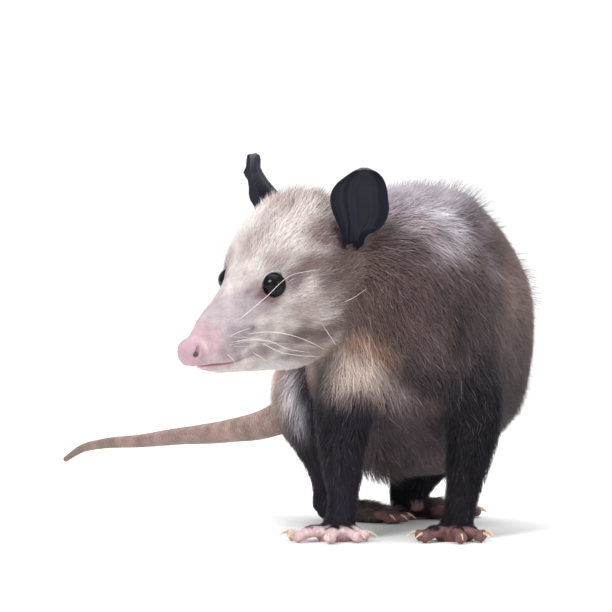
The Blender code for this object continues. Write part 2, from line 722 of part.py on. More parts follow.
def build_coat(neighbours):
    """The cores of the neck and the trunk, each with the locks that are rooted in it."""
    draw = random.Random(LOCK_SEED)
    neck, torso = neck_form(-CORE_INSET), core_form()
    whole = neck_form(-CORE_INSET)
    boolean(whole, "UNION", [core_form()])
    graph = bpy.context.evaluated_depsgraph_get()
    skin = BVHTree.FromObject(whole, graph)
    trunk_tree, neck_tree = BVHTree.FromObject(torso, graph), BVHTree.FromObject(neck, graph)
    roots = roots_of_locks([neck, torso], draw)
    on_neck = [p for p in roots if on_first(p, neck_tree, trunk_tree)]
    on_torso = [p for p in roots if on_first(p, trunk_tree, neck_tree)]
    bpy.data.objects.remove(whole)
    add_locks(neck, skin, on_neck, neighbours, draw)
    boolean(neck, "DIFFERENCE", [core_form(GAP)], "MANIFOLD")
    add_locks(torso, skin, on_torso, neighbours + [neck], draw)


def on_first(point, own, other):
    """Whether a root is on its own core and well clear of the other one."""
    return own.find_nearest(point)[3] < GAP and not inside(other, point, ROOT_ROOM)


def inside(tree, point, margin):
    """Whether a point is within a closed surface, or nearer to it than margin."""
    if tree.find_nearest(point)[3] < margin:
        return True
    crossings, way, origin = 0, Vector((0.1, 0.2, 0.97)).normalized(), point
    while True:
        hit = tree.ray_cast(origin, way)[0]
        if hit is None:
            return crossings % 2 == 1
        crossings += 1
        origin = hit + way * 1e-6


def centre_on_floor():
    """Moves every object, so that the origin is the middle of the underside of the whole."""
    points = np.array([v.co for obj in bpy.data.objects for v in obj.data.vertices])
    low, high = points.min(0), points.max(0)
    shift = Vector((-(low[0] + high[0]) / 2, -(low[1] + high[1]) / 2, -low[2]))
    root = bpy.data.objects.new("opossum", None)
    bpy.context.scene.collection.objects.link(root)
    for obj in list(bpy.data.objects):
        if obj is not root:
            obj.parent = root
            for polygon in obj.data.polygons:
                polygon.use_smooth = True
    root.location = shift


def main():
    for obj in list(bpy.data.objects):
        bpy.data.objects.remove(obj)
    for name, (colour, roughness) in MATERIALS.items():
        made = bpy.data.materials.new(name)
        made.use_nodes = True
        made.node_tree.nodes["Principled BSDF"].inputs["Base Color"].default_value = (*colour, 1)
        made.node_tree.nodes["Principled BSDF"].inputs["Roughness"].default_value = roughness
    head = build_head()
    build_nose(head)
    clear_of(head, core_form)
    ears = [build_ear("ear_left", 1), build_ear("ear_right", -1)]
    for ear in ears:
        clear_of(ear, head_form, neck_form)
    forms = [head_form(), tail_form()] + [leg_form(name) for name in LEGS]
    build_coat(forms + ears)
    for form in forms:
        bpy.data.objects.remove(form)
    legs = {}
    for name in LEGS:
        legs[name] = leg_form(name)
        clear_of(legs[name], core_form, neck_form, head_form)
    boolean(legs["foreleg_right"], "DIFFERENCE", [leg_form("hindleg_right", GAP)])
    boolean(legs["hindleg_left"], "DIFFERENCE", [leg_form("hindleg_right", GAP)])
    build_forepaw("forepaw_right", FORELEG_RIGHT)
    build_forepaw("forepaw_left", FORELEG_LEFT)
    build_hindpaw("hindpaw_right", HINDLEG_RIGHT)
    build_hindpaw("hindpaw_left", HINDLEG_LEFT)
    build_tail()
    clear_of(bpy.data.objects["tail_base"], core_form)
    boolean(bpy.data.objects["tail_base"], "DIFFERENCE", [leg_form("hindleg_right", GAP)])
    centre_on_floor()


main()
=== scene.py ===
"""The looks of a standing opossum: one skin, its coat of tufts, ears, eyes, lids, claws and whiskers.

Metres, +Z up. The forms are laid out as the solids are, round a point on the floor between the forefeet,
with +X to the animal's left and +Y behind it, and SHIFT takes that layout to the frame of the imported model.
In the head's own frame u runs forward from between the ears to the nose, v to the head's left and w up.
The tables are in millimetres where they say nothing else, and their colours are eight-bit display values.
"""

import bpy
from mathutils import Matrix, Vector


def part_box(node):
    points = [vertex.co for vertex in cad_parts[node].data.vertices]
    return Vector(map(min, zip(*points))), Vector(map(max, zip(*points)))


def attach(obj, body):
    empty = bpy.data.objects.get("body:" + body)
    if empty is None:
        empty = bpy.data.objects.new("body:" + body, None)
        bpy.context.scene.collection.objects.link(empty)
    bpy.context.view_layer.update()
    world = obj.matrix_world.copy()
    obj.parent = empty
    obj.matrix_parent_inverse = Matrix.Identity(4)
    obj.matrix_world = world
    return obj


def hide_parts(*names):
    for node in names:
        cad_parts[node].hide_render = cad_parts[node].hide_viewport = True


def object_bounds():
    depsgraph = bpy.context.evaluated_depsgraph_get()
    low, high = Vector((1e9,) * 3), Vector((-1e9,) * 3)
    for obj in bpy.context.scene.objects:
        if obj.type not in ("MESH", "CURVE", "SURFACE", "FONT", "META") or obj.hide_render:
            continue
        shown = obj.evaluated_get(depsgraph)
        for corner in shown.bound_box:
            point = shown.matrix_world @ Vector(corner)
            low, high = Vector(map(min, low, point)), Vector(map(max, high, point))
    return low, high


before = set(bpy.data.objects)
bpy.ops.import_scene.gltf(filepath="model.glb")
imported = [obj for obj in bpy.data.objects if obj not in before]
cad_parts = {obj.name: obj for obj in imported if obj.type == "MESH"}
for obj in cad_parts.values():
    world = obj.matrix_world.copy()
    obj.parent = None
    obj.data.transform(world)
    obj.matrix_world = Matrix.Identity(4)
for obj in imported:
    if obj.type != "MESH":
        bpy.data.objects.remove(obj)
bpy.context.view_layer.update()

import math

import bmesh
import bpy
import numpy as np
from mathutils import Vector
from mathutils.bvhtree import BVHTree
from mathutils.kdtree import KDTree

MM = 0.001
SIDES = {1: "left", -1: "right"}
UPWARDS, FORWARDS = (0, 0, 1), (0, -1, 0)      # of the layout

# The camera of the photograph: its place in the layout, its lens in pixels, and the picture's centre
CAMERA_AT = np.array((0.0, -1600.0, 138.0)) * MM
LENS_PIXELS = 2720
PICTURE = 612
SENSOR_MM = 36

# The head's place and turn, as in the solids
HEAD_AT = np.array((0.0, 17.5, 170.0)) * MM
HEAD_TURN, HEAD_PITCH, HEAD_ROLL = (math.radians(a) for a in (41, 24, 6))

# The left eye and ear in the head's frame: places, and the ways they face. The right ones mirror them.
EYE_RADIUS = 7.9 * MM
EYE_SUNK = 2.6 * MM            # behind its place in the solids, so that the lids stand round it
EYE_BULGE = 0.045              # of the radius, at the middle of the clear front
EYE_OPEN = 67                  # from the eye's axis to the lids, in degrees
SOCKET_REACH = 13 * MM         # of the lids and the socket round the eye's centre
EYE_AT = np.array((52.5, 17.6, 3.4)) * MM
EYE_FACES = (0.42, 0.86, 0.26)
EAR_AT = np.array((-6, 35, 14.5)) * MM
EAR_FACES = (0.74, 0.66, 0.06)
EAR_THICK = 1.1 * MM
EAR_FORWARD = 7 * MM           # from its place in the solids, so that its stem clears the coat

# Stations in millimetres, as in the solids: centre x, y, z, half width, height above and below
TRUNK = (
    (49, 1, 104, 36, 38, 38),
    (53, 17, 112, 53, 63, 60),
    (59, 42, 121, 64, 86, 83),
    (65, 72, 124, 71, 94, 94),
    (70, 103, 123, 77, 95, 97),
    (69, 133, 116, 76, 95, 90),
    (54, 158, 107, 67, 86, 75),
    (32, 174, 96, 53, 68, 58),
    (11, 183, 82, 35, 44, 39),
)
TRUNK_ENDS = ((46, -5, 100), (-6, 189, 71))
NECK = (
    (70, 66, 138, 36, 44, 42),
    (48, 50, 156, 39, 48, 44),
    (22, 34, 163, 38, 42, 46),
)
# The head along its own axis: forward of the ears, top, bottom, half width, and narrowing towards the top
HEAD = (
    (-20, 35, -44, 36, 0.00),
    (-8, 39.5, -52, 40, 0.00),
    (5, 40, -58, 42, 0.0),
    (20, 38.5, -61, 41.5, 0.02),
    (35, 32.5, -60, 37, 0.04),
    (50, 22, -54.5, 28, 0.10),
    (65, 13.2, -48.5, 21.5, 0.14),
    (80, 7.6, -42, 16.8, 0.15),
    (95, 3.2, -36, 13, 0.12),
    (105, -1.2, -31, 10.5, 0.06),
    (111, -4.2, -26.2, 8.5, 0.0),
)
HEAD_END = (114, -14)
MOUTH = ((118, -22), (105, -24.5), (94, -28), (82, -28.5), (69, -26.5))
NOSE = (
    (106, -12.5, 5, 5),
    (109, -12.5, 7.6, 7.6),
    (112, -12.9, 8.6, 8.0),
    (115, -13.3, 8.2, 7.6),
    (118, -13.7, 6.6, 6.2),
    (119.6, -13.8, 4.0, 4.0),
)
NOSE_END = (120.2, -13.8)
NOSE_FRONT = (0.125, 0, -0.012)        # from where the face's hair lies back, in metres
NOSE_START = 107.5                     # of its bare skin
# The top of the slit over the left nostril, and the nostril
NOSTRIL_SLIT, NOSTRIL = (112.0, 8.2, -6.6), (116.2, 6.4, -12.8)
# Small raised and sunk forms of the head, both sides alike: centre, radii, height
HEAD_FORMS = (
    ((92, 11, -15), (13, 8, 9), 1.1),
    ((66, 17, -2), (9, 6, 7), -1.1),
    ((52, 15, 13), (10, 7, 4), 0.9),
    ((40, 30, -14), (14, 12, 11), 1.4),
    ((104, 8, -4), (7, 4, 4), -0.5),
    ((62, 17, -30), (9, 9, 6), -0.7),
)
FORELEG_RIGHT = (
    (21.5, 5, 12, 8.5, 9, 9),
    (22, 9, 26, 9.6, 10, 11),
    (22, 17, 44, 13, 12, 14),
    (22, 25, 64, 17, 17, 18),
    (26, 28, 86, 22, 24, 24),
    (34, 30, 110, 24, 26, 28),
)
FORELEG_LEFT = (
    (90.5, 5, 12, 9.5, 10, 10),
    (92.5, 9, 26, 10.4, 10, 11),
    (96, 17, 44, 14, 13, 15),
    (99, 25, 64, 18, 17, 19),
    (97, 28, 86, 22, 24, 24),
    (88, 30, 110, 24, 26, 28),
)
HINDLEG_RIGHT = (
    (15, 152, 17, 10, 10, 10),
    (15, 147, 32, 14, 13, 14),
    (12, 142, 48, 19, 20, 22),
    (8, 142, 70, 29, 27, 34),
    (9, 146, 92, 31, 27, 35),
    (18, 152, 112, 28, 24, 28),
)
HINDLEG_LEFT = (
    (67, 154, 17, 12, 11, 12),
    (71, 154, 32, 17, 14, 17),
    (82, 158, 47, 20, 19, 22),
    (89, 166, 70, 25, 26, 28),
    (82, 168, 92, 28, 28, 30),
    (68, 168, 112, 24, 24, 26),
)
LEGS = {"foreleg_right": FORELEG_RIGHT, "foreleg_left": FORELEG_LEFT,
        "hindleg_right": HINDLEG_RIGHT, "hindleg_left": HINDLEG_LEFT}
# The tail: centre x, y, z, and radius
TAIL = (
    (6, 182, 78, 13),
    (-6, 190, 70, 12.5),
    (-24, 203, 61, 10),
    (-52, 235, 53.7, 7.8),
    (-90, 280, 47.7, 5.8),
    (-117, 310, 43.2, 4.6),
    (-144, 340, 39.9, 3.6),
    (-161, 360, 35.4, 2.9),
    (-175, 379, 26.5, 1.9),
)
TAIL_ROUND = [(x, y, z, r, r, r) for x, y, z, r in TAIL]
TAIL_STUMP = 18                # of 60 rings, which belong to the skin and end inside the scaly tail
TAIL_START = 0.025             # share of the length at which the scales begin
TAIL_RINGS, TAIL_SIDES = 980, 36
PLATE_LENGTH = ((0, 2.5), (0.4, 2.2), (1, 1.7))        # of a scale, by share of the tail's length
PLATES_ROUND = ((0, 26), (1, 10))
# The forepaws: the palm's middle, their turn, how far aside each finger points and how far it reaches, and
# the leg over them. The hindpaws: the heel, their turn, the side of their outer toes, and the leg.
FOREPAWS = {
    "forepaw_right": ((17.5, -1), 6, (80, 50, 2, -42, -76), (25, 26, 24, 20, 17), FORELEG_RIGHT),
    "forepaw_left": ((87, -1), 0, (78, 46, -6, -44, -78), (20, 24, 24, 20, 15), FORELEG_LEFT),
}
HINDPAWS = {
    "hindpaw_right": ((12, 155), -32, -1, HINDLEG_RIGHT),
    "hindpaw_left": ((61, 152), 32, 1, HINDLEG_LEFT),
}
TOE_SPREAD = (26, 10, -7, -24)
TOE_REACH = (19, 21, 21, 17)
THUMB_REACH = 19
FINGER_START = 4               # from the palm's middle
SOLE_REACH, TOE_FAN = 40, 9.6  # from the heel to the toes' roots, and half the width that they fan over
THUMB_ROOT, THUMB_LEAN = (20, 3), 0.35
SOLE_MIDDLE = 22               # from the heel
# Radius of a digit, and how high its joints arch
FINGER, TOE, THUMB = (3.9, 2.5), (3.7, 1.5), (4.6, 2)
# Along a digit: share of its reach, height of its middle, share of its arch, and of its radius
DIGIT = (
    (0, 4.6, 0, 1.15), (0.2, 4.8, 0.35, 0.98), (0.42, 4.9, 0.5, 1.04), (0.58, 4.3, 0.2, 0.82),
    (0.74, 3.7, 0, 0.84), (0.87, 3.7, 0, 1.08), (0.97, 3.5, 0, 0.9), (1.0, 3.4, 0, 0.55),
)
PALM_TOP, ANKLE_TOP = 16, 21
# The palm's rings: height, half width, and how near the wrist stands over the palm's middle
PALM = (
    (PALM_TOP + 8, 8.0, -0.2), (PALM_TOP, 8.4, 0.1), (11.5, 9.0, 0.4), (7.5, 10.2, 0.8), (3, 11.2, 1.0),
    (-1, 10, 1.0),
)
# The hind sole: along it, height of its middle, half width, height above and below
SOLE = (
    (-4, 7, 4, 4, 5), (0, 7.5, 7.5, 7.5, 8), (8, 8, 8.5, 9, 8.5), (20, 7, 8.5, 7, 7.5), (34, 6, 10, 5, 6.5),
    (44, 5, 10, 4, 5.5),
)
CLAW_LENGTH, CLAW_ROOT = 4.4, 2.6      # beyond the tip of its digit, and sunk in it
CLAW_RADIUS, CLAW_HEIGHT, CLAW_DROP = 1.15, 5.2, 2.2

# The skin
VOXEL = 1.7 * MM
TRUNK_COAT = 8.5               # depth of the coat over the trunk's skin
FLESH = ("head", "nose", "neck", "torso", "foreleg_left", "foreleg_right", "hindleg_left",
         "hindleg_right", "forepaw_left", "forepaw_right", "hindpaw_left", "hindpaw_right", "tail_base",
         "tail_mid", "tail_end")

# The coat
COAT_SEED = 11
# By how many rings a tuft has: the word in its pieces' names, how many tufts a piece holds, so that it stays
# under 200,000 triangles, and how high its rings and its tip stand and how wide its rings are
TUFT_WORD = {1: "wool", 2: "locks"}
TUFTS_PER_PIECE = {1: 49000, 2: 19500}
TUFT_HEIGHTS = {1: (1.0,), 2: (0.62, 1.0)}
TUFT_WIDTHS = {1: (1.0,), 2: (0.85, 0.9)}
ROOT_DEPTH = 0.25 * MM         # of a tuft's root under the skin
PATCH = 0.003                  # of a tuft on the bake map
SOFTNESS = 0.75                # how far the hairs are lit as the skin under them is
LOWEST_HAIR = 0.4 * MM         # over the floor
# The coat's measures in millimetres, and its tufts to a square millimetre, as (place, value). Places are
# heights on the legs, ways forward on the head and shares of the tail's length. One pair holds everywhere.
HAIR = {
    "length": {
        "trunk": ((0, 12),), "neck": ((0, 11.5),),
        "head": ((-20, 13), (0, 10.5), (20, 8.5), (40, 6), (62, 4.0), (85, 2.9), (104, 1.8)),
        "tail": ((0, 16), (0.06, 12), (0.13, 6), (0.19, 2.5)),
        "leg": ((4, 2.5), (12, 3.6), (22, 6), (45, 10), (90, 14), (110, 17)),
    },
    "height": {
        "trunk": ((0, 4.6),), "neck": ((0, 5.6),),
        "head": ((-20, 7.6), (10, 5.6), (40, 3.2), (62, 1.2), (85, 0.5), (111, 0.2)),
        "tail": ((0, 4.5), (0.06, 2.6), (0.13, 1.2), (0.19, 0.4)),
        "leg": ((4, 0.4), (12, 0.7), (26, 1.5), (45, 3.0), (90, 4.4), (110, 4.6)),
    },
    "width": {
        "trunk": ((0, 0.56),), "neck": ((0, 0.52),),
        "head": ((-20, 0.52), (10, 0.44), (40, 0.34), (70, 0.26), (104, 0.2)),
        "tail": ((0, 0.5), (0.13, 0.3), (0.19, 0.2)),
        "leg": ((8, 0.26), (22, 0.38), (60, 0.5), (110, 0.6)),
    },
    "number": {
        "trunk": ((0, 0.36),), "neck": ((0, 0.45),),
        "head": ((-20, 0.5), (10, 0.75), (34, 0.8), (50, 0.5), (64, 0)),
        "tail": ((0, 0.7), (0.1, 0.6), (0.17, 0.3), (0.2, 0.0)),
        "leg": ((4, 0.6), (12, 0.7), (24, 0.7), (60, 0.5), (110, 0.4)),
    },
    "wool": {
        "trunk": ((0, 0.8),), "neck": ((0, 1.0),),
        "head": ((-20, 1.2), (10, 2.0), (34, 3.2), (50, 4.4), (64, 5.0), (100, 6.0)),
        "tail": ((0, 1.0), (0.1, 1.0), (0.17, 0.6), (0.2, 0.0)),
        "leg": ((4, 1.4), (12, 1.8), (18, 1.8), (60, 1.0), (110, 0.8)),
    },
}
LEG_THICK = {"foreleg_right": 1.35, "foreleg_left": 1.5, "hindleg_right": 1.35, "hindleg_left": 1.7}
# The layers in the order in which they grow: where, the field of their number and the share of it, the rings
# of a tuft, and how they differ from a plain coat
COAT_LAYERS = (
    ("body", "number", 1.0, 2, dict(stray=0.32, clump=0.42, gap=4.8)),
    ("body", "wool", 1.1, 1, dict(longer=0.75, higher=1.15, thinner=0.55, clump=0.2, stray=0.5, shade=0.12)),
    ("body", "number", 0.06, 2, dict(higher=1.5, thinner=0.34, clump=0.1, stray=0.5, dark=1.8, pale=0.6)),
    ("body", "fuzz", 1.0, 2, dict(longer=0.7, higher=2.3, thinner=0.4, clump=0.15, stray=0.5, dark=1.6)),
    ("legs", "number", 1.0, 2, dict(gap=5.0, stray=0.22)),
    ("legs", "wool", 1.0, 1, dict(longer=0.85, higher=1.1, thinner=0.6, clump=0.2, stray=0.36, shade=0.10)),
    ("head", "number", 1.0, 2, dict(gap=4.0, clump=0.35, shade=0.05, root=0.82, stray=0.36)),
    ("head", "wool", 1.0, 1, dict(longer=0.85, thinner=0.65, clump=0.2, stray=0.42, shade=0.06, root=0.83)),
)
FEWEST_TUFTS = 50              # of a layer on a body part, below which they are left out


def srgb(red, green, blue):
    """A colour as eight-bit display values, made linear."""
    values = np.array((red, green, blue)) / 255
    return np.where(values <= 0.04045, values / 12.92, ((values + 0.055) / 1.055) ** 2.4)


def smoothed(rows, count):
    """Rows of numbers along a smooth curve through the given ones, evenly spaced by their first three."""
    rows = np.array(rows, float)
    knots = np.concatenate([[0], np.cumsum(np.linalg.norm(np.diff(rows[:, :3], axis=0), axis=1))])
    slopes = np.gradient(rows, knots, axis=0)
    at = np.linspace(0, knots[-1], count)
    i = np.clip(np.searchsorted(knots, at, side="right") - 1, 0, len(rows) - 2)
    h = (knots[i + 1] - knots[i])[:, None]
    t = (at - knots[i])[:, None] / h
    return ((2 * t**3 - 3 * t**2 + 1) * rows[i] + (t**3 - 2 * t**2 + t) * h * slopes[i]
            + (3 * t**2 - 2 * t**3) * rows[i + 1] + (t**3 - t**2) * h * slopes[i + 1])


def unit(v):
    """Vectors of length 1."""
    return v / np.maximum(np.linalg.norm(v, axis=-1, keepdims=True), 1e-12)


def circle(count):
    """Angles once round, evenly spaced."""
    return np.linspace(0, 2 * math.pi, count, endpoint=False)


def spokes(turn, across, up):
    """Ways off a line at each turn, from two ways at right angles to it."""
    return np.cos(turn)[:, None] * across + np.sin(turn)[:, None] * up


def heading(degrees):
    """A level unit vector, by its turn from +X towards +Y."""
    angle = math.radians(degrees)
    return np.array((math.cos(angle), math.sin(angle)))


def mixed(value, target, share):
    """The value moved towards the target by a share of the way."""
    return value + share * (target - value)


def hump(*terms):
    """1 where each value is at its centre, and less away from it. A term is a value, a centre and a width."""
    return np.exp(-sum(((value - centre) / width) ** 2 for value, centre, width in terms))


def ramp(x, low, high):
    """0 below low, 1 above high, smooth between. low may be the larger."""
    t = np.clip((np.asarray(x, float) - low) / (high - low), 0, 1)
    return t * t * (3 - 2 * t)


def ripple(points, wavelength, seed):
    """A smooth random field between about -1 and 1."""
    draw = np.random.default_rng(seed)
    total = np.zeros(len(points))
    for _ in range(6):
        way = unit(draw.normal(size=3)) * 2 * math.pi / (wavelength * draw.uniform(0.7, 1.5))
        total += np.sin(points @ way + draw.uniform(0, 6.3))
    return total / 2.6


def head_axes():
    """The head's axes as rows: forward to the nose, to its left, and up."""
    level = np.array((-math.sin(HEAD_TURN), -math.cos(HEAD_TURN), 0))
    upright = np.array((0, 0, 1.0))
    forward = level * math.cos(HEAD_PITCH) - upright * math.sin(HEAD_PITCH)
    up = level * math.sin(HEAD_PITCH) + upright * math.cos(HEAD_PITCH)
    left = np.array((math.cos(HEAD_TURN), -math.sin(HEAD_TURN), 0))
    return np.array((forward, left * math.cos(HEAD_ROLL) - up * math.sin(HEAD_ROLL),
                     up * math.cos(HEAD_ROLL) + left * math.sin(HEAD_ROLL)))


AXES = head_axes()


def in_head(point):
    """A point of the head's frame, in metres, in the layout."""
    return HEAD_AT + np.asarray(point, float) @ AXES


def on_middle(forward, up):
    """A point of the head's middle plane, given in millimetres, in the layout."""
    return in_head((forward * MM, 0, up * MM))


def to_head(points):
    """Points of the layout in the head's frame."""
    return (points - HEAD_AT) @ AXES.T


def other_side(points):
    """Points of the layout, mirrored to the other side of the head."""
    head = to_head(points)
    head[:, 1] *= -1
    return in_head(head)


def folded(head):
    """Points of the head's frame, with those of its right side mirrored to the left."""
    return np.stack([head[:, 0], np.abs(head[:, 1]), head[:, 2]], axis=1)


def mirrored(vector, side):
    """A vector of the head's frame on the left side, 1, or on the right, -1."""
    return np.array((vector[0], side * vector[1], vector[2]), float)


def mouth_height(forward):
    """How high the line of the mouth is in the head's frame, in millimetres."""
    return np.interp(forward, *zip(*MOUTH[::-1]))


def picture_rays(pixels):
    """Ways from the camera through places of the picture, one unit deep."""
    across, down = np.array(pixels, float).T
    return np.stack([(across - PICTURE / 2) / LENS_PIXELS, np.ones(len(across)),
                     (PICTURE / 2 - down) / LENS_PIXELS], axis=1)


SHIFT = np.array(sum(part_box("eye_left"), Vector())) / 2 - in_head(EYE_AT)


def section(centre, across, up, half_width, above, below, sides, narrow=0.0):
    """One closed ring of points round a centre, wider below by the share that it narrows above."""
    turn = circle(sides)
    high = np.sin(turn)
    wide = half_width * np.cos(turn) * (1 - narrow * high)
    tall = np.where(high > 0, above, below) * high
    return np.array(centre) + wide[:, None] * np.array(across) + tall[:, None] * np.array(up)


def stations(rows, count, towards):
    """Smooth stations in metres, with their directions across and up."""
    rows = smoothed(np.array(rows, float) * MM, count)
    along = unit(np.gradient(rows[:, :3], axis=0))
    across = unit(np.cross(np.array(towards, float), along))
    return rows, across, np.cross(along, across)


def tube(rows, count, towards, sides, inset=0.0):
    """Rings through stations given in millimetres, drawn in by inset millimetres, one value or one a ring."""
    rows, across, up = stations(rows, count, towards)
    inset = np.broadcast_to(np.asarray(inset, float) * MM, count)
    return [section(r[:3], a, u, *(r[3:6] - d), sides) for r, a, u, d in zip(rows, across, up, inset)]


def ring_faces(low, sides, count):
    """Faces between rings of points that follow one another from index low on."""
    return [(low + k * sides + i, low + k * sides + (i + 1) % sides,
             low + (k + 1) * sides + (i + 1) % sides, low + (k + 1) * sides + i)
            for k in range(count - 1) for i in range(sides)]


def capped(low, sides, count):
    """The same, with a flat face on each end."""
    last = low + (count - 1) * sides
    ends = [tuple(range(last, last + sides)), tuple(range(low, low + sides))[::-1]]
    return ring_faces(low, sides, count) + ends


def placed(name, data):
    """A new object of the scene, made of the data."""
    obj = bpy.data.objects.new(name, data)
    bpy.context.scene.collection.objects.link(obj)
    return obj


class Forms:
    """Closed bodies gathered in one mesh."""

    def __init__(self):
        self.verts, self.faces = [], []

    def add(self, rings, start=None, end=None):
        """A body over stacked rings. An end is flat, or runs to the point given for it."""
        base, sides, count = len(self.verts), len(rings[0]), len(rings)
        self.verts += [p for ring in rings for p in ring]
        self.faces += ring_faces(base, sides, count)
        last = base + (count - 1) * sides
        for point, ring in ((start, range(base, base + sides)[::-1]), (end, range(last, last + sides))):
            if point is None:
                self.faces.append(tuple(ring))
            else:
                self.faces += [(ring[i], ring[(i + 1) % sides], len(self.verts)) for i in range(sides)]
                self.verts.append(np.array(point, float))

    def object(self, name):
        mesh = bpy.data.meshes.new(name)
        mesh.from_pydata([tuple(v) for v in self.verts], [], self.faces)
        edit = bmesh.new()
        edit.from_mesh(mesh)
        bmesh.ops.recalc_face_normals(edit, faces=edit.faces)
        edit.to_mesh(mesh)
        edit.free()
        return placed(name, mesh)


def piece(name, verts, faces, colours, materials, face_materials=None):
    """A shown piece from points in the layout, with a colour for each, and faces, as rows or as a list."""
    verts = np.asarray(verts, float) + SHIFT
    if isinstance(faces, list):
        sizes = np.array([len(f) for f in faces])
        loops = np.concatenate([np.asarray(f) for f in faces])
    else:
        sizes, loops = np.full(len(faces), faces.shape[1]), faces.ravel()
    mesh = bpy.data.meshes.new(name)
    mesh.vertices.add(len(verts))
    mesh.vertices.foreach_set("co", verts.astype(np.float32).ravel())
    mesh.loops.add(len(loops))
    mesh.loops.foreach_set("vertex_index", loops.astype(np.int32))
    mesh.polygons.add(len(sizes))
    starts = np.concatenate([[0], np.cumsum(sizes)[:-1]])
    mesh.polygons.foreach_set("loop_start", starts.astype(np.int32))
    mesh.update(calc_edges=True)
    mesh.polygons.foreach_set("use_smooth", np.full(len(sizes), True))
    for material in materials:
        mesh.materials.append(material)
    if face_materials is not None:
        mesh.polygons.foreach_set("material_index", np.asarray(face_materials, np.int32))
    paint = mesh.color_attributes.new(name="paint", type="FLOAT_COLOR", domain="POINT")
    rgba = np.concatenate([colours, np.ones((len(colours), 1))], axis=1)
    paint.data.foreach_set("color", rgba.astype(np.float32).ravel())
    mesh.update()
    return placed(name, mesh)


def paired(name, side, verts, faces, colours, material):
    """A piece that the head has twice. faces look outwards on the left side."""
    if side < 0:
        faces = [f[::-1] for f in faces]
    return piece(name.format(SIDES[side]), verts, faces, colours, (material,))


def dress(obj, slot, *nodes):
    """Fixes a piece to the model's body, in place of the solids that it stands for."""
    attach(obj, "root")
    if nodes:
        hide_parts(*nodes)
    return obj


# The skin's forms

def head_depth(forward):
    """Depth of the coat on the head in millimetres, by how far forward a point is."""
    return np.interp(forward, (-20, 10, 40, 70, 100, 111), (8, 5.4, 2.2, 1.2, 0.9, 0.8))


def add_head(forms):
    """The head, drawn in by the depth of its coat, and the bare nose."""
    rows = smoothed([(u, 0, 0, top, bottom, width, narrow) for u, top, bottom, width, narrow in HEAD], 40)
    rings = []
    for u, _, _, top, bottom, width, narrow in rows:
        depth = head_depth(u)
        tall = (top - bottom) / 2 - depth
        centre = on_middle(u, (top + bottom) / 2)
        half = (width - depth) * MM, tall * MM, tall * MM
        rings.append(section(centre, AXES[1], AXES[2], *half, 40, narrow))
    forms.add(rings, end=on_middle(*HEAD_END))
    nose = [section(on_middle(u, w), AXES[1], AXES[2], a * MM, b * MM, b * MM, 28) for u, w, a, b in NOSE]
    forms.add(nose, end=on_middle(*NOSE_END))


def add_trunk(forms):
    """The trunk and the neck, drawn in by the depth of their coat."""
    rings = tube(TRUNK, 40, UPWARDS, 48, TRUNK_COAT)
    ends = []
    for k, point in zip((0, -1), TRUNK_ENDS):
        inward = unit(rings[k].mean(0) - np.array(point) * MM) * TRUNK_COAT * MM
        rings[k] = rings[k] + inward
        ends.append(np.array(point) * MM + inward)
    forms.add(rings, start=ends[0], end=ends[1])
    forms.add(tube(NECK, 12, UPWARDS, 36, TRUNK_COAT - 1))


def digit_rings(base, angle, reach, radius, lift):
    """A finger or toe along the floor, swollen at its joints and its tip."""
    way = np.array((math.cos(angle), math.sin(angle), 0))
    rows = []
    for share, high, arch, thick in DIGIT:
        at = np.array((base[0], base[1], 0)) + way * reach * share
        rows.append((at[0], at[1], high + lift * arch, thick * radius, *[0.9 * thick * radius] * 2))
    return tube(rows, 22, UPWARDS, 18)


def foot_ways(turn, outer):
    """The ways along a hind foot, and towards its inner side."""
    way = heading(turn)
    return way, np.array((-way[1], way[0])) * -outer


def feet():
    """Every digit as (node of its claw or None, base, angle, reach, radius, lift)."""
    found = []
    for name, (middle, turn, spread, reaches, _) in FOREPAWS.items():
        for k, (aside, reach) in enumerate(zip(spread, reaches)):
            angle = math.radians(-90 - turn - aside)
            base = np.array(middle) + FINGER_START * np.array((math.cos(angle), math.sin(angle)))
            found.append((f"claw_{name}_{k + 1}", base, angle, reach, *FINGER))
    for name, (heel, turn, outer, _) in HINDPAWS.items():
        way, inner = foot_ways(turn, outer)
        for k, (spread, reach) in enumerate(zip(TOE_SPREAD, TOE_REACH)):
            aside = math.radians(spread)
            start = np.array(heel) + way * SOLE_REACH - inner * TOE_FAN * math.sin(aside)
            found.append((f"claw_{name}_{k + 1}", start, math.radians(turn) + outer * aside, reach, *TOE))
        thumb = math.atan2(*(inner + way * THUMB_LEAN)[::-1])
        root = np.array(heel) + way * THUMB_ROOT[0] + inner * THUMB_ROOT[1]
        found.append((None, root, thumb, THUMB_REACH, *THUMB))
    return found


def add_feet(forms):
    """The palms, the soles with their ankles, and every digit."""
    for (x, y), _, _, _, leg in FOREPAWS.values():
        wrist = leg[0]
        rings = []
        for high, wide, near in PALM:
            centre = np.array((mixed(wrist[0], x, near), mixed(wrist[1], y, near), high)) * MM
            half = wide * MM, wide * 0.9 * MM, wide * 0.9 * MM
            rings.append(section(centre, (1, 0, 0), FORWARDS, *half, 28))
        forms.add(rings)
    for (x, y), turn, _, leg in HINDPAWS.values():
        way = heading(turn)
        rows = [(x + way[0] * along, y + way[1] * along, *rest) for along, *rest in SOLE]
        forms.add(tube(rows, 24, UPWARDS, 24))
        ankle = leg[0]
        tall = [(ankle[0] - 1.5, ankle[1], 7, *ankle[3:]), (*ankle[:2], ANKLE_TOP + 8, *ankle[3:])]
        forms.add(tube(tall, 4, FORWARDS, 24, 1.0))
    for _, *digit in feet():
        forms.add(digit_rings(*digit))


def add_legs(forms):
    """The legs, drawn in by the depth of their coat, which is thicker higher up."""
    for rows in LEGS.values():
        forms.add(tube(rows, 24, FORWARDS, 32, np.linspace(1.5, 6, 24)))


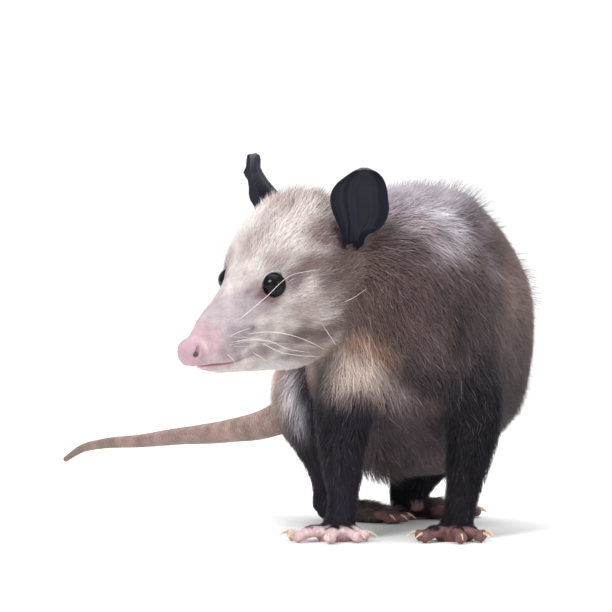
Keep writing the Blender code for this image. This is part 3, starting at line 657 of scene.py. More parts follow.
def remeshed(forms, voxel):
    """The outer surface of the joined forms, as a mesh."""
    obj = forms.object("forms")
    step = obj.modifiers.new("remesh", "REMESH")
    step.mode = "VOXEL"
    step.voxel_size = voxel
    graph = bpy.context.evaluated_depsgraph_get()
    mesh = bpy.data.meshes.new_from_object(obj.evaluated_get(graph))
    bpy.data.objects.remove(obj)
    return mesh


def refined(mesh, chosen):
    """The mesh with the chosen faces cut in four, and the faces round them kept to three or four sides."""
    edit = bmesh.new()
    edit.from_mesh(mesh)
    points = np.array([v.co for v in edit.verts])
    fine = chosen(points)
    edges = [e for e in edit.edges if fine[e.verts[0].index] and fine[e.verts[1].index]]
    bmesh.ops.subdivide_edges(edit, edges=edges, cuts=1, use_grid_fill=True)
    bmesh.ops.triangulate(edit, faces=[f for f in edit.faces if len(f.verts) > 4])
    edit.to_mesh(mesh)
    edit.free()
    return mesh


class Skin:
    """The points, edges, triangles and faces of the skin's mesh."""

    def __init__(self, mesh):
        self.points = np.empty(len(mesh.vertices) * 3, np.float32)
        mesh.vertices.foreach_get("co", self.points)
        self.points = self.points.reshape(-1, 3).astype(float)
        edges = np.empty(len(mesh.edges) * 2, np.int32)
        mesh.edges.foreach_get("vertices", edges)
        self.edges = edges.reshape(-1, 2)
        mesh.calc_loop_triangles()
        triangles = np.empty(len(mesh.loop_triangles) * 3, np.int32)
        mesh.loop_triangles.foreach_get("vertices", triangles)
        self.triangles = triangles.reshape(-1, 3)
        self.faces = [tuple(p.vertices) for p in mesh.polygons]
        self.count = len(self.points)
        self.links = np.bincount(self.edges.ravel(), minlength=self.count)

    def relaxed(self, values, times, share=0.5):
        """Values at the points, each drawn towards its neighbours' mean some times."""
        flat = values.ndim == 1
        values = values.reshape(self.count, -1).astype(float)
        a, b = self.edges.T
        share = np.broadcast_to(np.asarray(share, float).reshape(-1, 1), (self.count, 1))
        for _ in range(times):
            total = np.stack([np.bincount(a, v[b], self.count) + np.bincount(b, v[a], self.count)
                              for v in values.T], axis=1)
            values = values + share * (total / self.links[:, None] - values)
        return values[:, 0] if flat else values

    def normals(self):
        """The way out of the skin at each point."""
        corners = self.points[self.triangles]
        turned = np.cross(corners[:, 1] - corners[:, 0], corners[:, 2] - corners[:, 0])
        total = np.stack([sum(np.bincount(self.triangles[:, j], turned[:, k], self.count) for j in range(3))
                          for k in range(3)], axis=1)
        return unit(total)

    def store(self, mesh):
        """Moves the mesh's points to the skin's."""
        mesh.vertices.foreach_set("co", self.points.astype(np.float32).ravel())

    def tree(self):
        return BVHTree.FromPolygons([Vector(p) for p in self.points], self.triangles.tolist())


def bodies():
    """The body's parts, each as rows of centre and half sizes, and the ways across and up at each row."""
    found = {"trunk": stations(TRUNK, 60, UPWARDS), "neck": stations(NECK, 16, UPWARDS)}
    for name, rows in LEGS.items():
        found[name] = stations(rows, 30, FORWARDS)
    found["tail"] = stations(TAIL_ROUND, 80, UPWARDS)
    rows = smoothed([(u, 0, 0, top, bottom, width) for u, top, bottom, width, _ in HEAD], 50)
    centres = in_head(np.stack([rows[:, 0], rows[:, 0] * 0, (rows[:, 3] + rows[:, 4]) / 2], axis=1) * MM)
    tall = (rows[:, 3] - rows[:, 4]) / 2 * MM
    sizes = np.stack([rows[:, 5] * MM, tall, tall], axis=1)
    found["head"] = (np.concatenate([centres, sizes], axis=1), np.broadcast_to(AXES[1], (50, 3)),
                     np.broadcast_to(AXES[2], (50, 3)))
    return found


def places(points):
    """For each point: the index of its body part, how far along it and how far round it the point is."""
    near = np.full(len(points), np.inf)
    part, along, around = (np.zeros(len(points)) for _ in range(3))
    for number, (rows, across, up) in enumerate(bodies().values()):
        distance = ((points[:, None, :] - rows[None, :, :3]) ** 2).sum(2)
        k = distance.argmin(1)
        offset = points - rows[k, :3]
        x, z = (offset * across[k]).sum(1), (offset * up[k]).sum(1)
        high = np.where(z > 0, rows[k, 4], rows[k, 5])
        past = np.maximum(0, distance.min(1) - x * x - z * z)
        rho = np.sqrt((x / rows[k, 3]) ** 2 + (z / high) ** 2 + past / 2e-4)
        better = rho < near
        near[better], part[better] = rho[better], number
        along[better] = k[better] / (len(rows) - 1)
        around[better] = np.arctan2(z, x)[better] / (2 * math.pi) % 1
    return part.astype(int), along, around


PARTS = list(bodies())


def eye_ways(side):
    """The eye's centre, and its ways: out of the head, towards the nose along the face, and up."""
    facing = unit(mirrored(EYE_FACES, side)) @ AXES
    centre = in_head(mirrored(EYE_AT, side)) - facing * EYE_SUNK
    front = unit(AXES[0] - facing * (AXES[0] @ facing))
    upward = unit(AXES[2] - facing * (AXES[2] @ facing) - front * (AXES[2] @ front))
    return centre, facing, front, upward


def about(turn, centre, width):
    """1 where a turn is at the centre, and less away from it, round the circle."""
    return hump((np.angle(np.exp(1j * (turn - centre))), 0, width))


def eye_opening(turn):
    """How wide the lids stand open in degrees off the eye's axis, by turn from the nose side upwards."""
    corner = about(turn, -0.5, 0.4)
    outer = about(turn, math.pi - 0.1, 0.5)
    return EYE_OPEN + 13 * corner + 3 * outer - 2 * np.maximum(0, np.sin(turn)), corner


def socketed(points):
    """The points with the skin sunk behind each eye's open part, and lifted round its rim."""
    points = points.copy()
    for side in SIDES:
        centre, facing, front, upward = eye_ways(side)
        offset = points - centre
        far = np.linalg.norm(offset, axis=1)
        angle = np.degrees(np.arccos(np.clip((offset @ facing) / np.maximum(far, 1e-9), -1, 1)))
        opening, _ = eye_opening(np.arctan2(offset @ upward, offset @ front))
        past = angle - opening
        sunk = np.where(past < 3, np.minimum(far, EYE_RADIUS * 0.86), far)
        rim = EYE_RADIUS + (0.15 - 0.3 * ramp(past, 6, 14)) * MM
        lifted = np.where((past >= 3) & (past < 16), np.maximum(far, rim), sunk)
        share = 1 - ramp(far, SOCKET_REACH * 0.8, SOCKET_REACH)
        wanted = centre + offset * (lifted / np.maximum(far, 1e-9))[:, None]
        points += np.where(angle < 110, share, 0)[:, None] * (wanted - points)
    return points


def near_line(points, line):
    """How far each point is from a line through points, and how far along it the nearest place is."""
    best, where = np.full(len(points), np.inf), np.zeros(len(points))
    line = np.array(line, float)
    for k, (a, b) in enumerate(zip(line, line[1:])):
        t = np.clip(((points - a) @ (b - a)) / ((b - a) @ (b - a)), 0, 1)
        far = np.linalg.norm(points - a - t[:, None] * (b - a), axis=1)
        where = np.where(far < best, (k + t) / (len(line) - 1), where)
        best = np.minimum(best, far)
    return best, where


def nostrils(head):
    """How far each point of the head is from the slit over the nearer nostril, and from the nostril."""
    slit, _ = near_line(folded(head), (NOSTRIL_SLIT, NOSTRIL))
    return slit, np.linalg.norm(folded(head) - np.array(NOSTRIL), axis=1)


def sculpted(skin):
    """The skin's points with the head's smaller forms: lips, muzzle, brows, cheeks and nostrils."""
    head = to_head(skin.points) / MM
    normals = skin.normals()
    u, v, w = head.T
    aside = np.abs(v)
    front = ramp(u, 55, 66)
    moved = np.zeros(len(head))
    line, along = near_line(head[:, (0, 2)], MOUTH)
    groove = np.interp(along, (0, 0.25, 0.42, 0.6, 1), (1.2, 1.4, 0.8, 0.15, 0))
    moved -= front * groove * hump((line, 0, 0.9))
    swell = np.interp(along, (0, 0.5, 0.8), (1, 0.8, 0))
    moved += front * 0.6 * swell * hump((line, 2.4, 1.3)) * np.where(w < mouth_height(u), 0.9, 1.1)
    for centre, radii, height in HEAD_FORMS:
        moved += height * hump(*zip((u, aside, w), centre, radii))
    moved -= 0.6 * hump((v, 0, 1.0)) * ramp(u, 108, 112) * ramp(w, -9, -13)
    moved += 0.35 * hump((aside, 5, 3)) * ramp(u, 109, 113)
    slit, hole = nostrils(head)
    moved -= 1.4 * hump((slit, 0, 0.9)) + 2.8 * hump((hole, 0, 1.6))
    return skin.points + normals * (moved * MM)[:, None]


def forward_of(points):
    """How far forward in the head's frame points are, in millimetres."""
    return to_head(points)[:, 0] / MM


def on_face(points):
    """Whether points are near the mouth, the nose or an eye."""
    head = to_head(points) / MM
    mouth, _ = near_line(head[:, (0, 2)], MOUTH)
    eye = np.minimum(*(np.linalg.norm(points - in_head(mirrored(EYE_AT, side)), axis=1) for side in SIDES))
    return ((head[:, 0] > 62) & (mouth < 6)) | (head[:, 0] > 102) | (eye < SOCKET_REACH)


def on_head_or_feet(points):
    """Whether points are on the front of the head or on the feet, which are less than 19 mm high."""
    return (forward_of(points) > 38) | (points[:, 2] < 19 * MM)


def build_skin():
    """One closed surface from the nose to the toes, smooth under the coat, and finer on the face and feet."""
    forms = Forms()
    add_head(forms)
    add_trunk(forms)
    add_legs(forms)
    add_feet(forms)
    root = smoothed(TAIL_ROUND, 60)[:TAIL_STUMP]
    root[-3:, 3:] *= np.array((0.95, 0.85, 0.7))[:, None]
    forms.add(tube(root, 24, UPWARDS, 28, 0.4))
    mesh = remeshed(forms, VOXEL)
    skin = Skin(mesh)
    forward, height = forward_of(skin.points), skin.points[:, 2] / MM
    # The forms run softly into one another under the coat, most of all where the head joins the neck
    furred = np.where(forward > 40, 0, 1) * ramp(height, 22, 40) * ramp(forward, 44, 20)
    furred = np.maximum(furred, ramp(height, 26, 40) * (forward < -10))
    join = ramp(forward, 26, 12) * ramp(forward, -60, -40) * ramp(height, 80, 96)
    snout = ramp(forward, 97, 103) * ramp(forward, 114, 110)
    for times, share in ((26, 0.6 * furred), (90, 0.8 * join), (26, 0.6 * snout), (3, 0.35)):
        skin.points = skin.relaxed(skin.points, times, share)
    skin.store(mesh)
    # Each finer mesh is smoothed where it was cut
    skin = Skin(refined(mesh, on_head_or_feet))
    skin.points = skin.relaxed(skin.points, 2, np.where(forward_of(skin.points) > 30, 0.5, 0.2))
    skin.store(mesh)
    skin = Skin(refined(mesh, on_face))
    skin.points = skin.relaxed(skin.points, 2, np.where(forward_of(skin.points) > 45, 0.5, 0))
    skin.points = socketed(sculpted(skin))
    skin.points = skin.relaxed(skin.points, 1, np.where(forward_of(skin.points) > 30, 0.3, 0))
    skin.points[:, 2] = np.maximum(skin.points[:, 2], 0)
    return skin


# Colour: soft patches over a ground colour for each part

GROUND = {
    "trunk": (100, 85, 84),
    "neck": (112, 93, 89),
    "head": (226, 215, 211),
    "foreleg_right": (43, 39, 48),
    "foreleg_left": (31, 29, 36),
    "hindleg_right": (44, 40, 48),
    "hindleg_left": (25, 23, 30),
    "tail": (150, 128, 120),
}
# In the layout, in millimetres: centre, radii, colour, strength
BODY_PATCHES = (
    ((60, 150, 150), (80, 60, 70), (108, 94, 92), 0.8),
    ((-8, 80, 125), (22, 80, 60), (118, 101, 96), 0.8),
    ((48, -4, 152), (30, 34, 36), (104, 86, 83), 0.9),
    ((60, 125, 196), (46, 70, 34), (160, 152, 156), 0.75),
    ((66, 52, 206), (38, 60, 24), (189, 180, 191), 0.95),
    ((56, 34, 201), (12, 20, 9), (160, 148, 160), 0.7),
    ((56, 20, 190), (12, 12, 7), (184, 166, 170), 0.8),
    ((70, 12, 184), (12, 12, 9), (198, 182, 190), 0.9),
    ((80, 26, 192), (9, 11, 8), (234, 228, 239), 0.9),
    ((80, 12, 182), (6, 7, 5), (130, 117, 128), 0.85),
    ((91, 22, 182), (8, 11, 9), (228, 220, 230), 0.9),
    ((88, 8, 171), (15, 12, 6), (208, 196, 206), 0.9),
    ((75, 0, 163), (13, 12, 6), (146, 131, 137), 0.7),
    ((99, 50, 191), (6, 18, 9), (112, 101, 110), 0.9),
    ((104, 34, 178), (5, 12, 9), (134, 121, 131), 0.9),
    ((109, 34, 160), (5, 12, 12), (130, 118, 125), 0.85),
    ((107, 58, 184), (4, 12, 7), (146, 136, 145), 0.7),
    ((128, 62, 146), (14, 40, 34), (138, 119, 115), 0.95),
    ((123, 52, 152), (7, 14, 4), (176, 152, 146), 0.7),
    ((123, 54, 137), (7, 14, 4), (170, 148, 142), 0.7),
    ((68, -9, 142), (18, 14, 22), (90, 73, 73), 0.8),
    ((90, -2, 126), (9, 14, 22), (62, 53, 57), 0.9),
    ((104, 14, 122), (12, 20, 22), (84, 73, 76), 0.8),
    ((128, 64, 112), (16, 44, 18), (98, 85, 86), 0.9),
    ((68, 2, 104), (14, 16, 8), (76, 65, 67), 0.8),
    ((52, -6, 126), (16, 18, 16), (96, 78, 76), 0.8),
    ((30, 3, 116), (14, 18, 7), (174, 140, 123), 0.95),
    ((42, 4, 109), (10, 14, 7), (162, 127, 112), 0.9),
    ((24, 8, 103), (13, 18, 9), (190, 171, 161), 1.0),
    ((36, 8, 98), (9, 14, 7), (170, 148, 140), 0.9),
    ((47, 8, 96), (8, 14, 8), (136, 117, 111), 0.9),
    ((4, 60, 84), (14, 60, 8), (70, 61, 66), 0.95),
    ((3, 60, 104), (16, 70, 9), (164, 144, 137), 0.95),
    ((16, 14, 80), (12, 24, 5), (60, 53, 59), 0.95),
    ((26, 8, 98), (17, 20, 12), (234, 213, 201), 1.0),
    ((42, 14, 90), (12, 18, 8), (186, 166, 160), 0.95),
    ((54, 16, 85), (10, 16, 6), (158, 142, 142), 0.85),
    ((84, 8, 92), (24, 26, 9), (52, 46, 51), 0.95),
    ((106, 20, 94), (18, 34, 14), (78, 70, 76), 0.95),
    ((57, 50, 57), (46, 60, 25), (99, 87, 92), 1.0),
    ((62, 120, 40), (46, 50, 20), (88, 76, 77), 1.0),
    ((122, 64, 84), (22, 56, 22), (76, 67, 69), 0.9),
    ((20, 192, 92), (44, 24, 44), (118, 104, 101), 0.8),
    ((-6, 128, 96), (10, 30, 10), (70, 62, 68), 0.8),
)
LEG_PATCHES = (
    ((28, 22, 116), (30, 34, 14), (112, 94, 90), 0.9),
    ((30, 3, 116), (14, 18, 6), (170, 138, 121), 0.95),
    ((26, 8, 98), (17, 20, 12), (226, 206, 195), 1.0),
    ((42, 14, 90), (12, 18, 8), (184, 164, 158), 0.95),
    ((16, 14, 80), (12, 24, 5), (56, 50, 56), 0.95),
    ((94, 20, 112), (30, 34, 16), (66, 58, 63), 0.9),
    ((16, 152, 112), (44, 40, 20), (92, 80, 80), 0.9),
    ((82, 168, 104), (44, 40, 20), (84, 73, 73), 1.0),
    ((-18, 134, 90), (6, 24, 13), (236, 196, 184), 1.0),
    ((-14, 131, 74), (6, 24, 10), (160, 136, 130), 1.0),
    ((-9, 127, 60), (5, 24, 9), (96, 83, 84), 0.9),
    ((-2, 126, 92), (6, 24, 16), (70, 63, 70), 0.95),
    ((-10, 128, 88), (3.2, 18, 7), (238, 230, 234), 1.0),
    ((-7.5, 125, 78), (3.2, 16, 8), (240, 234, 240), 1.0),
    ((-3, 122, 66), (3.0, 16, 8), (204, 198, 208), 0.95),
    ((0, 121, 56), (3, 16, 5), (118, 110, 118), 0.7),
)
# On the head, in its own frame, both sides alike: forward, to the side, up
HEAD_PATCHES = (
    ((-22, 0, 10), (24, 60, 50), (122, 102, 98), 0.95),
    ((2, 36, -12), (18, 22, 38), (118, 98, 94), 1.0),
    ((2, 0, 40), (26, 40, 11), (204, 187, 183), 0.8),
    ((9, 5, 34), (7, 4, 6), (166, 146, 143), 0.7),
    ((-4, 17, 38), (9, 8, 8), (128, 105, 100), 0.9),
    ((8, 26, 16), (13, 9, 11), (122, 101, 98), 0.95),
    ((16, 23, 20), (9, 7, 9), (150, 128, 125), 0.85),
    ((0, 28, 12), (7, 7, 10), (76, 63, 64), 0.95),
    ((31, 27, 8), (10, 8, 7), (122, 101, 99), 0.95),
    ((16, 33, 3), (13, 10, 10), (120, 100, 98), 1.0),
    ((43, 25, 4), (8, 5, 6), (138, 118, 120), 0.9),
    ((44, 17, 15), (9, 7, 4), (184, 166, 166), 0.8),
    ((62, 12.5, 6), (5, 4, 5), (166, 143, 148), 0.8),
    ((66, 16, -5), (12, 7, 5), (168, 151, 159), 0.85),
    ((40, 29, -14), (12, 9, 8), (192, 175, 173), 0.95),
    ((24, 33, -4), (9, 8, 7), (112, 94, 92), 0.95),
    ((12, 35, -9), (11, 9, 13), (116, 98, 95), 1.0),
    ((46, 24, -29), (13, 8, 8), (128, 108, 107), 0.95),
    ((32, 30, -33), (13, 8, 9), (126, 106, 102), 0.95),
    ((17, 34, -22), (11, 10, 16), (114, 95, 91), 0.95),
    ((66, 16, -30), (16, 8, 4), (168, 153, 154), 0.85),
    ((50, 20, -41), (13, 9, 6), (150, 132, 131), 0.85),
    ((60, 6, -46), (26, 12, 7), (232, 225, 226), 0.9),
    ((32, 22, -47), (12, 14, 8), (158, 138, 132), 0.9),
    ((14, 22, -52), (15, 26, 12), (196, 170, 156), 0.95),
    ((16, 4, 31), (20, 3.0, 9), (182, 160, 155), 0.5),
    ((40, 2, 24), (12, 2.6, 7), (186, 166, 162), 0.6),
    ((47, 3, 18), (6, 4, 5), (190, 172, 173), 0.6),
    ((82, 6, 0), (28, 14, 10), (194, 180, 186), 0.85),
    ((79, 14, -9), (16, 6, 7), (198, 186, 193), 0.8),
    ((90, 12, -17), (20, 7, 8), (172, 156, 163), 0.85),
    ((70, 17, -18), (8, 5, 5), (196, 186, 188), 0.6),
    ((78, 15, -27), (14, 6, 3.5), (160, 143, 147), 0.7),
    ((76, 16, -13), (1.8, 2.4, 1.8), (104, 84, 90), 0.8),
    ((105, 6, -8), (9, 11, 12), (206, 174, 184), 0.9),
    ((106, 0, -26), (16, 12, 5), (208, 182, 188), 0.7),
    ((58.5, 14.5, 0.5), (5, 4.5, 4.5), (122, 92, 98), 0.9),
    ((52.5, 17.6, 3.4), (8.6, 8.6, 8.2), (132, 106, 110), 0.9),
)
# How many hairs have dark tips, how many have pale ones, how high the coat is, and where it stands on end
DARK_TIPS = (
    ((66, 60, 208), (60, 90, 40), 0.40),
    ((30, 0, 100), (34, 30, 30), 0.05),
    ((120, 60, 130), (40, 60, 60), 0.32),
)
PALE_TIPS = (
    ((66, 60, 208), (60, 90, 40), 0.22),
    ((-12, 130, 80), (12, 40, 40), 0.3),
    ((100, 10, 90), (24, 30, 30), 0.12),
)
RAISED = (
    ((60, 60, 208), (34, 60, 20), 0.5),
    ((96, 60, 196), (14, 60, 16), 1.2),
    ((110, 50, 174), (16, 40, 18), 0.9),
    ((134, 70, 152), (12, 44, 20), 1.3),
    ((122, 60, 88), (22, 56, 24), 1.9),
    ((32, 84, 38), (26, 56, 20), 3.6),
    ((2, 60, 94), (14, 50, 20), 2.0),
)
STANDING = (
    ((70, 64, 210), (44, 56, 16), 1.0),
    ((92, 56, 200), (16, 40, 18), 1.0),
    ((108, 50, 180), (12, 34, 16), 0.9),
    ((60, 30, 202), (22, 22, 10), 0.8),
    ((126, 62, 150), (14, 36, 32), 0.6),
)
PALE_PAW, DARK_PAW, DEEP_PAW = (228, 204, 204), (114, 82, 84), (144, 82, 86)
# The last two are painted shade, in the slit over each nostril and in the sunk nostril
NOSE_PINK, NOSE_WING, NOSE_SLIT_SHADE, NOSTRIL_SHADE = (176, 146, 156), (220, 200, 200), (140, 80, 84), (44, 18, 24)
MOUTH_PINK, MOUTH_BROWN = (196, 142, 150), (150, 124, 122)
DARK_TIP, PALE_TIP = (52, 44, 47), (216, 210, 213)
TAIL_SKIN = (159, 133, 125)
EAR_SLATE = (19, 20, 34)
EYE_BLACK, EYE_BROWN = (9, 9, 13), (34, 24, 22)
# The third is a painted highlight along the wet upper rim of the lid
LID_DARK, LID_RIM, LID_HIGHLIGHT, LID_CORNER = (38, 28, 34), (122, 96, 102), (196, 198, 210), (62, 36, 42)
CLAW_ROOT_TONE, CLAW_MIDDLE_TONE, CLAW_TIP_TONE = (186, 146, 130), (206, 178, 134), (236, 224, 198)
WHISKER_TONE, BROW_TONE = (226, 218, 212), (70, 60, 60)


def patch_distance(points, centre, radii):
    """How far points are from a patch's centre, where its radii are 1."""
    return np.sqrt((((points - np.array(centre)) / np.array(radii)) ** 2).sum(1))


def patched(colours, points, patches, mirror=False):
    """The colours with soft patches laid over them, their edges broken up. mirror lays them on both sides."""
    ragged = 1 + 0.22 * ripple(points, 9, 5) + 0.16 * ripple(points, 4, 6)
    if mirror:
        points = folded(points)
    for centre, radii, colour, strength in patches:
        far = patch_distance(points, centre, radii) * ragged
        share = strength * (1 - ramp(far, 0.55, 1.35))
        colours = mixed(colours, srgb(*colour), share[:, None])
    return colours


def painted(skin, shares):
    """The colour of the skin and of its coat at points of the layout."""
    body, head = skin.points / MM, to_head(skin.points) / MM
    ground = np.array([srgb(*GROUND[name]) for name in PARTS])
    legs = np.array(["leg" in name for name in PARTS])
    on_head = shares[:, PARTS.index("head")][:, None]
    on_legs = shares[:, legs].sum(1)[:, None]
    leg_ground = shares[:, legs] @ ground[legs] / np.maximum(on_legs, 1e-6)
    rest = ~legs & (np.arange(len(PARTS)) != PARTS.index("head"))
    on_rest = shares[:, rest].sum(1)[:, None]
    body_ground = shares[:, rest] @ ground[rest] / np.maximum(on_rest, 1e-6)
    head_ground = np.broadcast_to(ground[PARTS.index("head")], body.shape)
    colours = on_rest * patched(body_ground, body, BODY_PATCHES)
    colours = colours + on_legs * patched(leg_ground, body, LEG_PATCHES)
    colours = colours + on_head * patched(head_ground, head, HEAD_PATCHES, mirror=True)
    mottle = 0.17 - 0.09 * on_head[:, 0]
    mottle = 1 + mottle * (ripple(body, 19, 51) + 0.9 * ripple(body, 8, 52) + 0.6 * ripple(body, 4.5, 53))
    return colours * np.clip(mottle, 0.6, 1.35)[:, None]


def eased(points, patches, ground):
    """A number over the body: the ground value, moved towards each patch's own within its radii."""
    value = np.full(len(points), float(ground))
    for centre, radii, wanted in patches:
        value = mixed(value, wanted, 1 - ramp(patch_distance(points, centre, radii), 0.4, 1.2))
    return value


def bareness(points):
    """1 on the bare fingers, toes and soles, 0 on furred skin."""
    body = points / MM
    z = body[:, 2]
    bare = 1 - ramp(z + 1.0 * ripple(body, 9, 7), 7.6, 9.4)
    soles = []
    for heel, turn, _, _ in HINDPAWS.values():
        soles.append(np.linalg.norm(body[:, :2] - np.array(heel) - SOLE_MIDDLE * heading(turn), axis=1))
    for k, (heel, turn, outer, _) in enumerate(HINDPAWS.values()):
        way, inner = foot_ways(turn, outer)
        offset = body[:, :2] - heel
        ahead, aside = offset @ way, offset @ inner
        toes = ramp(ahead + ripple(body, 7, 8), 41, 45) * ramp(z, 9, 7)
        thumb = ramp(aside + 0.6 * ripple(body, 7, 9), 8.5, 10.5) * ramp(ahead, 44, 38)
        shown = np.maximum(np.maximum(toes, thumb), ramp(z, 2.6, 1.6)) * ramp(z, 15, 12)
        here = (np.abs(ahead - 24) < 45) & (np.abs(aside) < 40) & (body[:, 1] > 90)
        here &= soles[k] <= np.minimum(*soles) + 1e-6
        bare = np.where(here, shown, bare)
    return np.where(z > 20, 0, bare)


def skin_colours(points, hair):
    """What shows of the skin itself: the coat's colours, with the bare nose, lips and paws."""
    colours = hair * 0.8
    body, head = points / MM, to_head(points) / MM
    u, v, w = head.T
    pale = (ramp(body[:, 0], 56, 48) * ramp(body[:, 1], 70, 50))[:, None]
    paw = mixed(srgb(*DARK_PAW), srgb(*PALE_PAW), pale)
    deep = (0.25 + 0.75 * ramp(body[:, 2], 6.5, 1.5))[:, None] * (0.55 - 0.1 * pale)
    blotch = np.clip(0.3 * ripple(body, 6, 61) + 0.25 * ripple(body, 2.6, 62), -0.3, 0.5)[:, None]
    paw = mixed(paw, srgb(*DEEP_PAW) * (0.6 + 0.5 * pale), np.clip(deep + blotch * 0.5, 0, 0.8))
    line, _ = near_line(head[:, (0, 2)], MOUTH)
    front = ramp(u, 86, 94)
    below = np.where(w < mouth_height(u), 3.4, 0.3)
    lips = (1 - ramp(line, 0.6, 1.0 + below * front)) * ramp(u, 78, 90)
    lip = mixed(srgb(*MOUTH_BROWN), srgb(*MOUTH_PINK), front[:, None])
    # Painted shade along the mouth's line, drawn towards black where the lips part
    mouth_slit_shade = (1 - ramp(line, 0.2, 0.9)) * ramp(u, 84, 95)
    wing = hump((u, 108.5, 2.6), (np.abs(v), 8, 3), (w, -10, 4.5))
    slit, hole = nostrils(head)
    for target, share in ((paw, bareness(points)),
                          (srgb(*NOSE_PINK), ramp(u, 97, 114) * ramp(w, -28, -21)),
                          (lip, 0.6 * lips),
                          (0, 0.6 * mouth_slit_shade),
                          (srgb(*NOSE_WING), 0.6 * wing),
                          # Painted shade: red-brown in the slit over each nostril, near black in the nostril
                          (srgb(*NOSE_SLIT_SHADE), 0.75 * (1 - ramp(slit, 0.6, 1.8))),
                          (srgb(*NOSTRIL_SHADE), 0.95 * (1 - ramp(hole, 0.9, 2.3)))):
        colours = mixed(colours, target, share[:, None])
    return colours


# Materials

class Nodes:
    """A material, whose nodes are added by short calls."""

    def __init__(self, name, roughness, **values):
        self.material = bpy.data.materials.new(name)
        self.material.use_nodes = True
        self.tree = self.material.node_tree
        self.shader = self.tree.nodes["Principled BSDF"]
        self.shader.inputs["Roughness"].default_value = roughness
        for key, value in values.items():
            self.shader.inputs[key.replace("_", " ")].default_value = value

    def node(self, kind, **values):
        made = self.tree.nodes.new(kind)
        for key, value in values.items():
            if key in made.inputs:
                made.inputs[key].default_value = value
            elif key.replace("_", " ") in made.inputs:
                made.inputs[key.replace("_", " ")].default_value = value
            else:
                setattr(made, key, value)
        return made

    def link(self, a, b):
        self.tree.links.new(a, b)

    def place(self):
        """The place on the piece, in metres."""
        return self.node("ShaderNodeTexCoord").outputs["Object"]

    def noise(self, scale, detail=4.0, stretch=None):
        """Noise over the piece, as a factor. stretch scales the place along each axis first."""
        at = self.place()
        if stretch:
            mapping = self.node("ShaderNodeMapping", Scale=stretch)
            self.link(at, mapping.inputs["Vector"])
            at = mapping.outputs["Vector"]
        made = self.node("ShaderNodeTexNoise", Scale=scale, Detail=detail)
        self.link(at, made.inputs["Vector"])
        return made.outputs["Fac"]

    def tinted(self, colour, factor, low, high):
        """A colour multiplied by a grey between low and high that the factor picks."""
        band = self.node("ShaderNodeMapRange", To_Min=low, To_Max=high)
        self.link(factor, band.inputs["Value"])
        grey = self.node("ShaderNodeCombineColor")
        for channel in ("Red", "Green", "Blue"):
            self.link(band.outputs["Result"], grey.inputs[channel])
        mix = self.node("ShaderNodeMix", data_type="RGBA", blend_type="MULTIPLY")
        mix.inputs[0].default_value = 1.0
        self.link(colour, mix.inputs[6])
        self.link(grey.outputs["Color"], mix.inputs[7])
        return mix.outputs[2]

    def paint(self):
        """The colour stored at the points."""
        return self.node("ShaderNodeAttribute", attribute_name="paint").outputs["Color"]

    def bump(self, height, distance, strength=1.0, under=None):
        """The way that the surface faces with a relief on it, over another relief if there is one."""
        made = self.node("ShaderNodeBump", Distance=distance, Strength=strength)
        self.link(height, made.inputs["Height"])
        if under is not None:
            self.link(under, made.inputs["Normal"])
        return made.outputs["Normal"]

    def done(self, colour, normal=None):
        """The material, with what its shader reads."""
        self.link(colour, self.shader.inputs["Base Color"])
        if normal is not None:
            self.link(normal, self.shader.inputs["Normal"])
        return self.material


def grained(name, roughness, fields, relief=(), **values):
    """A painted surface, darkened and lightened by fields of noise, which may also raise it.

    A field is its scale, detail, stretch or None, and the lowest and highest factor on the colour. A relief
    is a field's number, distance and strength.
    """
    m = Nodes(name, roughness, **values)
    made = [m.noise(scale, detail, stretch) for scale, detail, stretch, _, _ in fields]
    colour = m.paint()
    for field, (_, _, _, low, high) in zip(made, fields):
        colour = m.tinted(colour, field, low, high)
    normal = None
    for number, distance, strength in relief:
        normal = m.bump(made[number], distance, strength, normal)
    return m.done(colour, normal)


def fur_skin_material():
    return grained("furred_skin", 0.8, ((900, 5, (1, 1, 2.2), 0.72, 1.12),), ((0, 0.0006, 0.8),),
                   Specular_IOR_Level=0.1)


def bare_skin_material():
    m = Nodes("bare_skin", 0.5, Specular_IOR_Level=0.4, Subsurface_Weight=0.12, Subsurface_Scale=0.0015)
    m.shader.inputs["Subsurface Radius"].default_value = (1.0, 0.35, 0.25)
    cells = m.node("ShaderNodeTexVoronoi", Scale=900.0)
    m.link(m.place(), cells.inputs["Vector"])
    broad = m.noise(160, 4)
    colour = m.tinted(m.tinted(m.paint(), broad, 0.82, 1.14), cells.outputs["Distance"], 1.04, 0.9)
    relief = m.bump(cells.outputs["Distance"], 0.00035, 0.7, m.bump(broad, 0.0006, 0.5))
    return m.done(colour, relief)


def tail_material():
    return grained("scaly_tail", 0.6, ((700, 4, None, 0.7, 1.2), (60, 3, None, 0.8, 1.15)),
                   ((0, 0.0003, 0.6),), Specular_IOR_Level=0.35)


def coat_material():
    return grained("coat_hair", 0.65, ((500, 3, None, 0.88, 1.12),), Specular_IOR_Level=0.12,
                   Sheen_Weight=0.05, Sheen_Roughness=0.5)


def ear_material():
    return grained("ear_leather", 0.55, ((420, 4, None, 0.8, 1.2), (120, 3, (1, 1, 0.35), 0.8, 1.25)),
                   ((0, 0.0002, 0.4), (1, 0.0008, 0.35)), Specular_IOR_Level=0.25, Sheen_Weight=0.04,
                   Sheen_Roughness=0.4)


def eye_material():
    return grained("wet_eye", 0.05, ((600, 3, None, 0.8, 1.2),), Specular_IOR_Level=0.16)


def lid_material():
    return grained("lid_skin", 0.42, ((900, 4, None, 0.8, 1.15),), ((0, 0.0003, 0.6),),
                   Specular_IOR_Level=0.45)


def claw_material():
    return grained("claw_keratin", 0.32, ((700, 3, (1, 1, 0.4), 0.85, 1.12),), ((0, 0.0002, 0.3),),
                   Specular_IOR_Level=0.5, Subsurface_Weight=0.1, Subsurface_Scale=0.001)


def whisker_material():
    return grained("whisker_hair", 0.35, ((300, 2, None, 0.9, 1.08),), Specular_IOR_Level=0.5)


# The studio

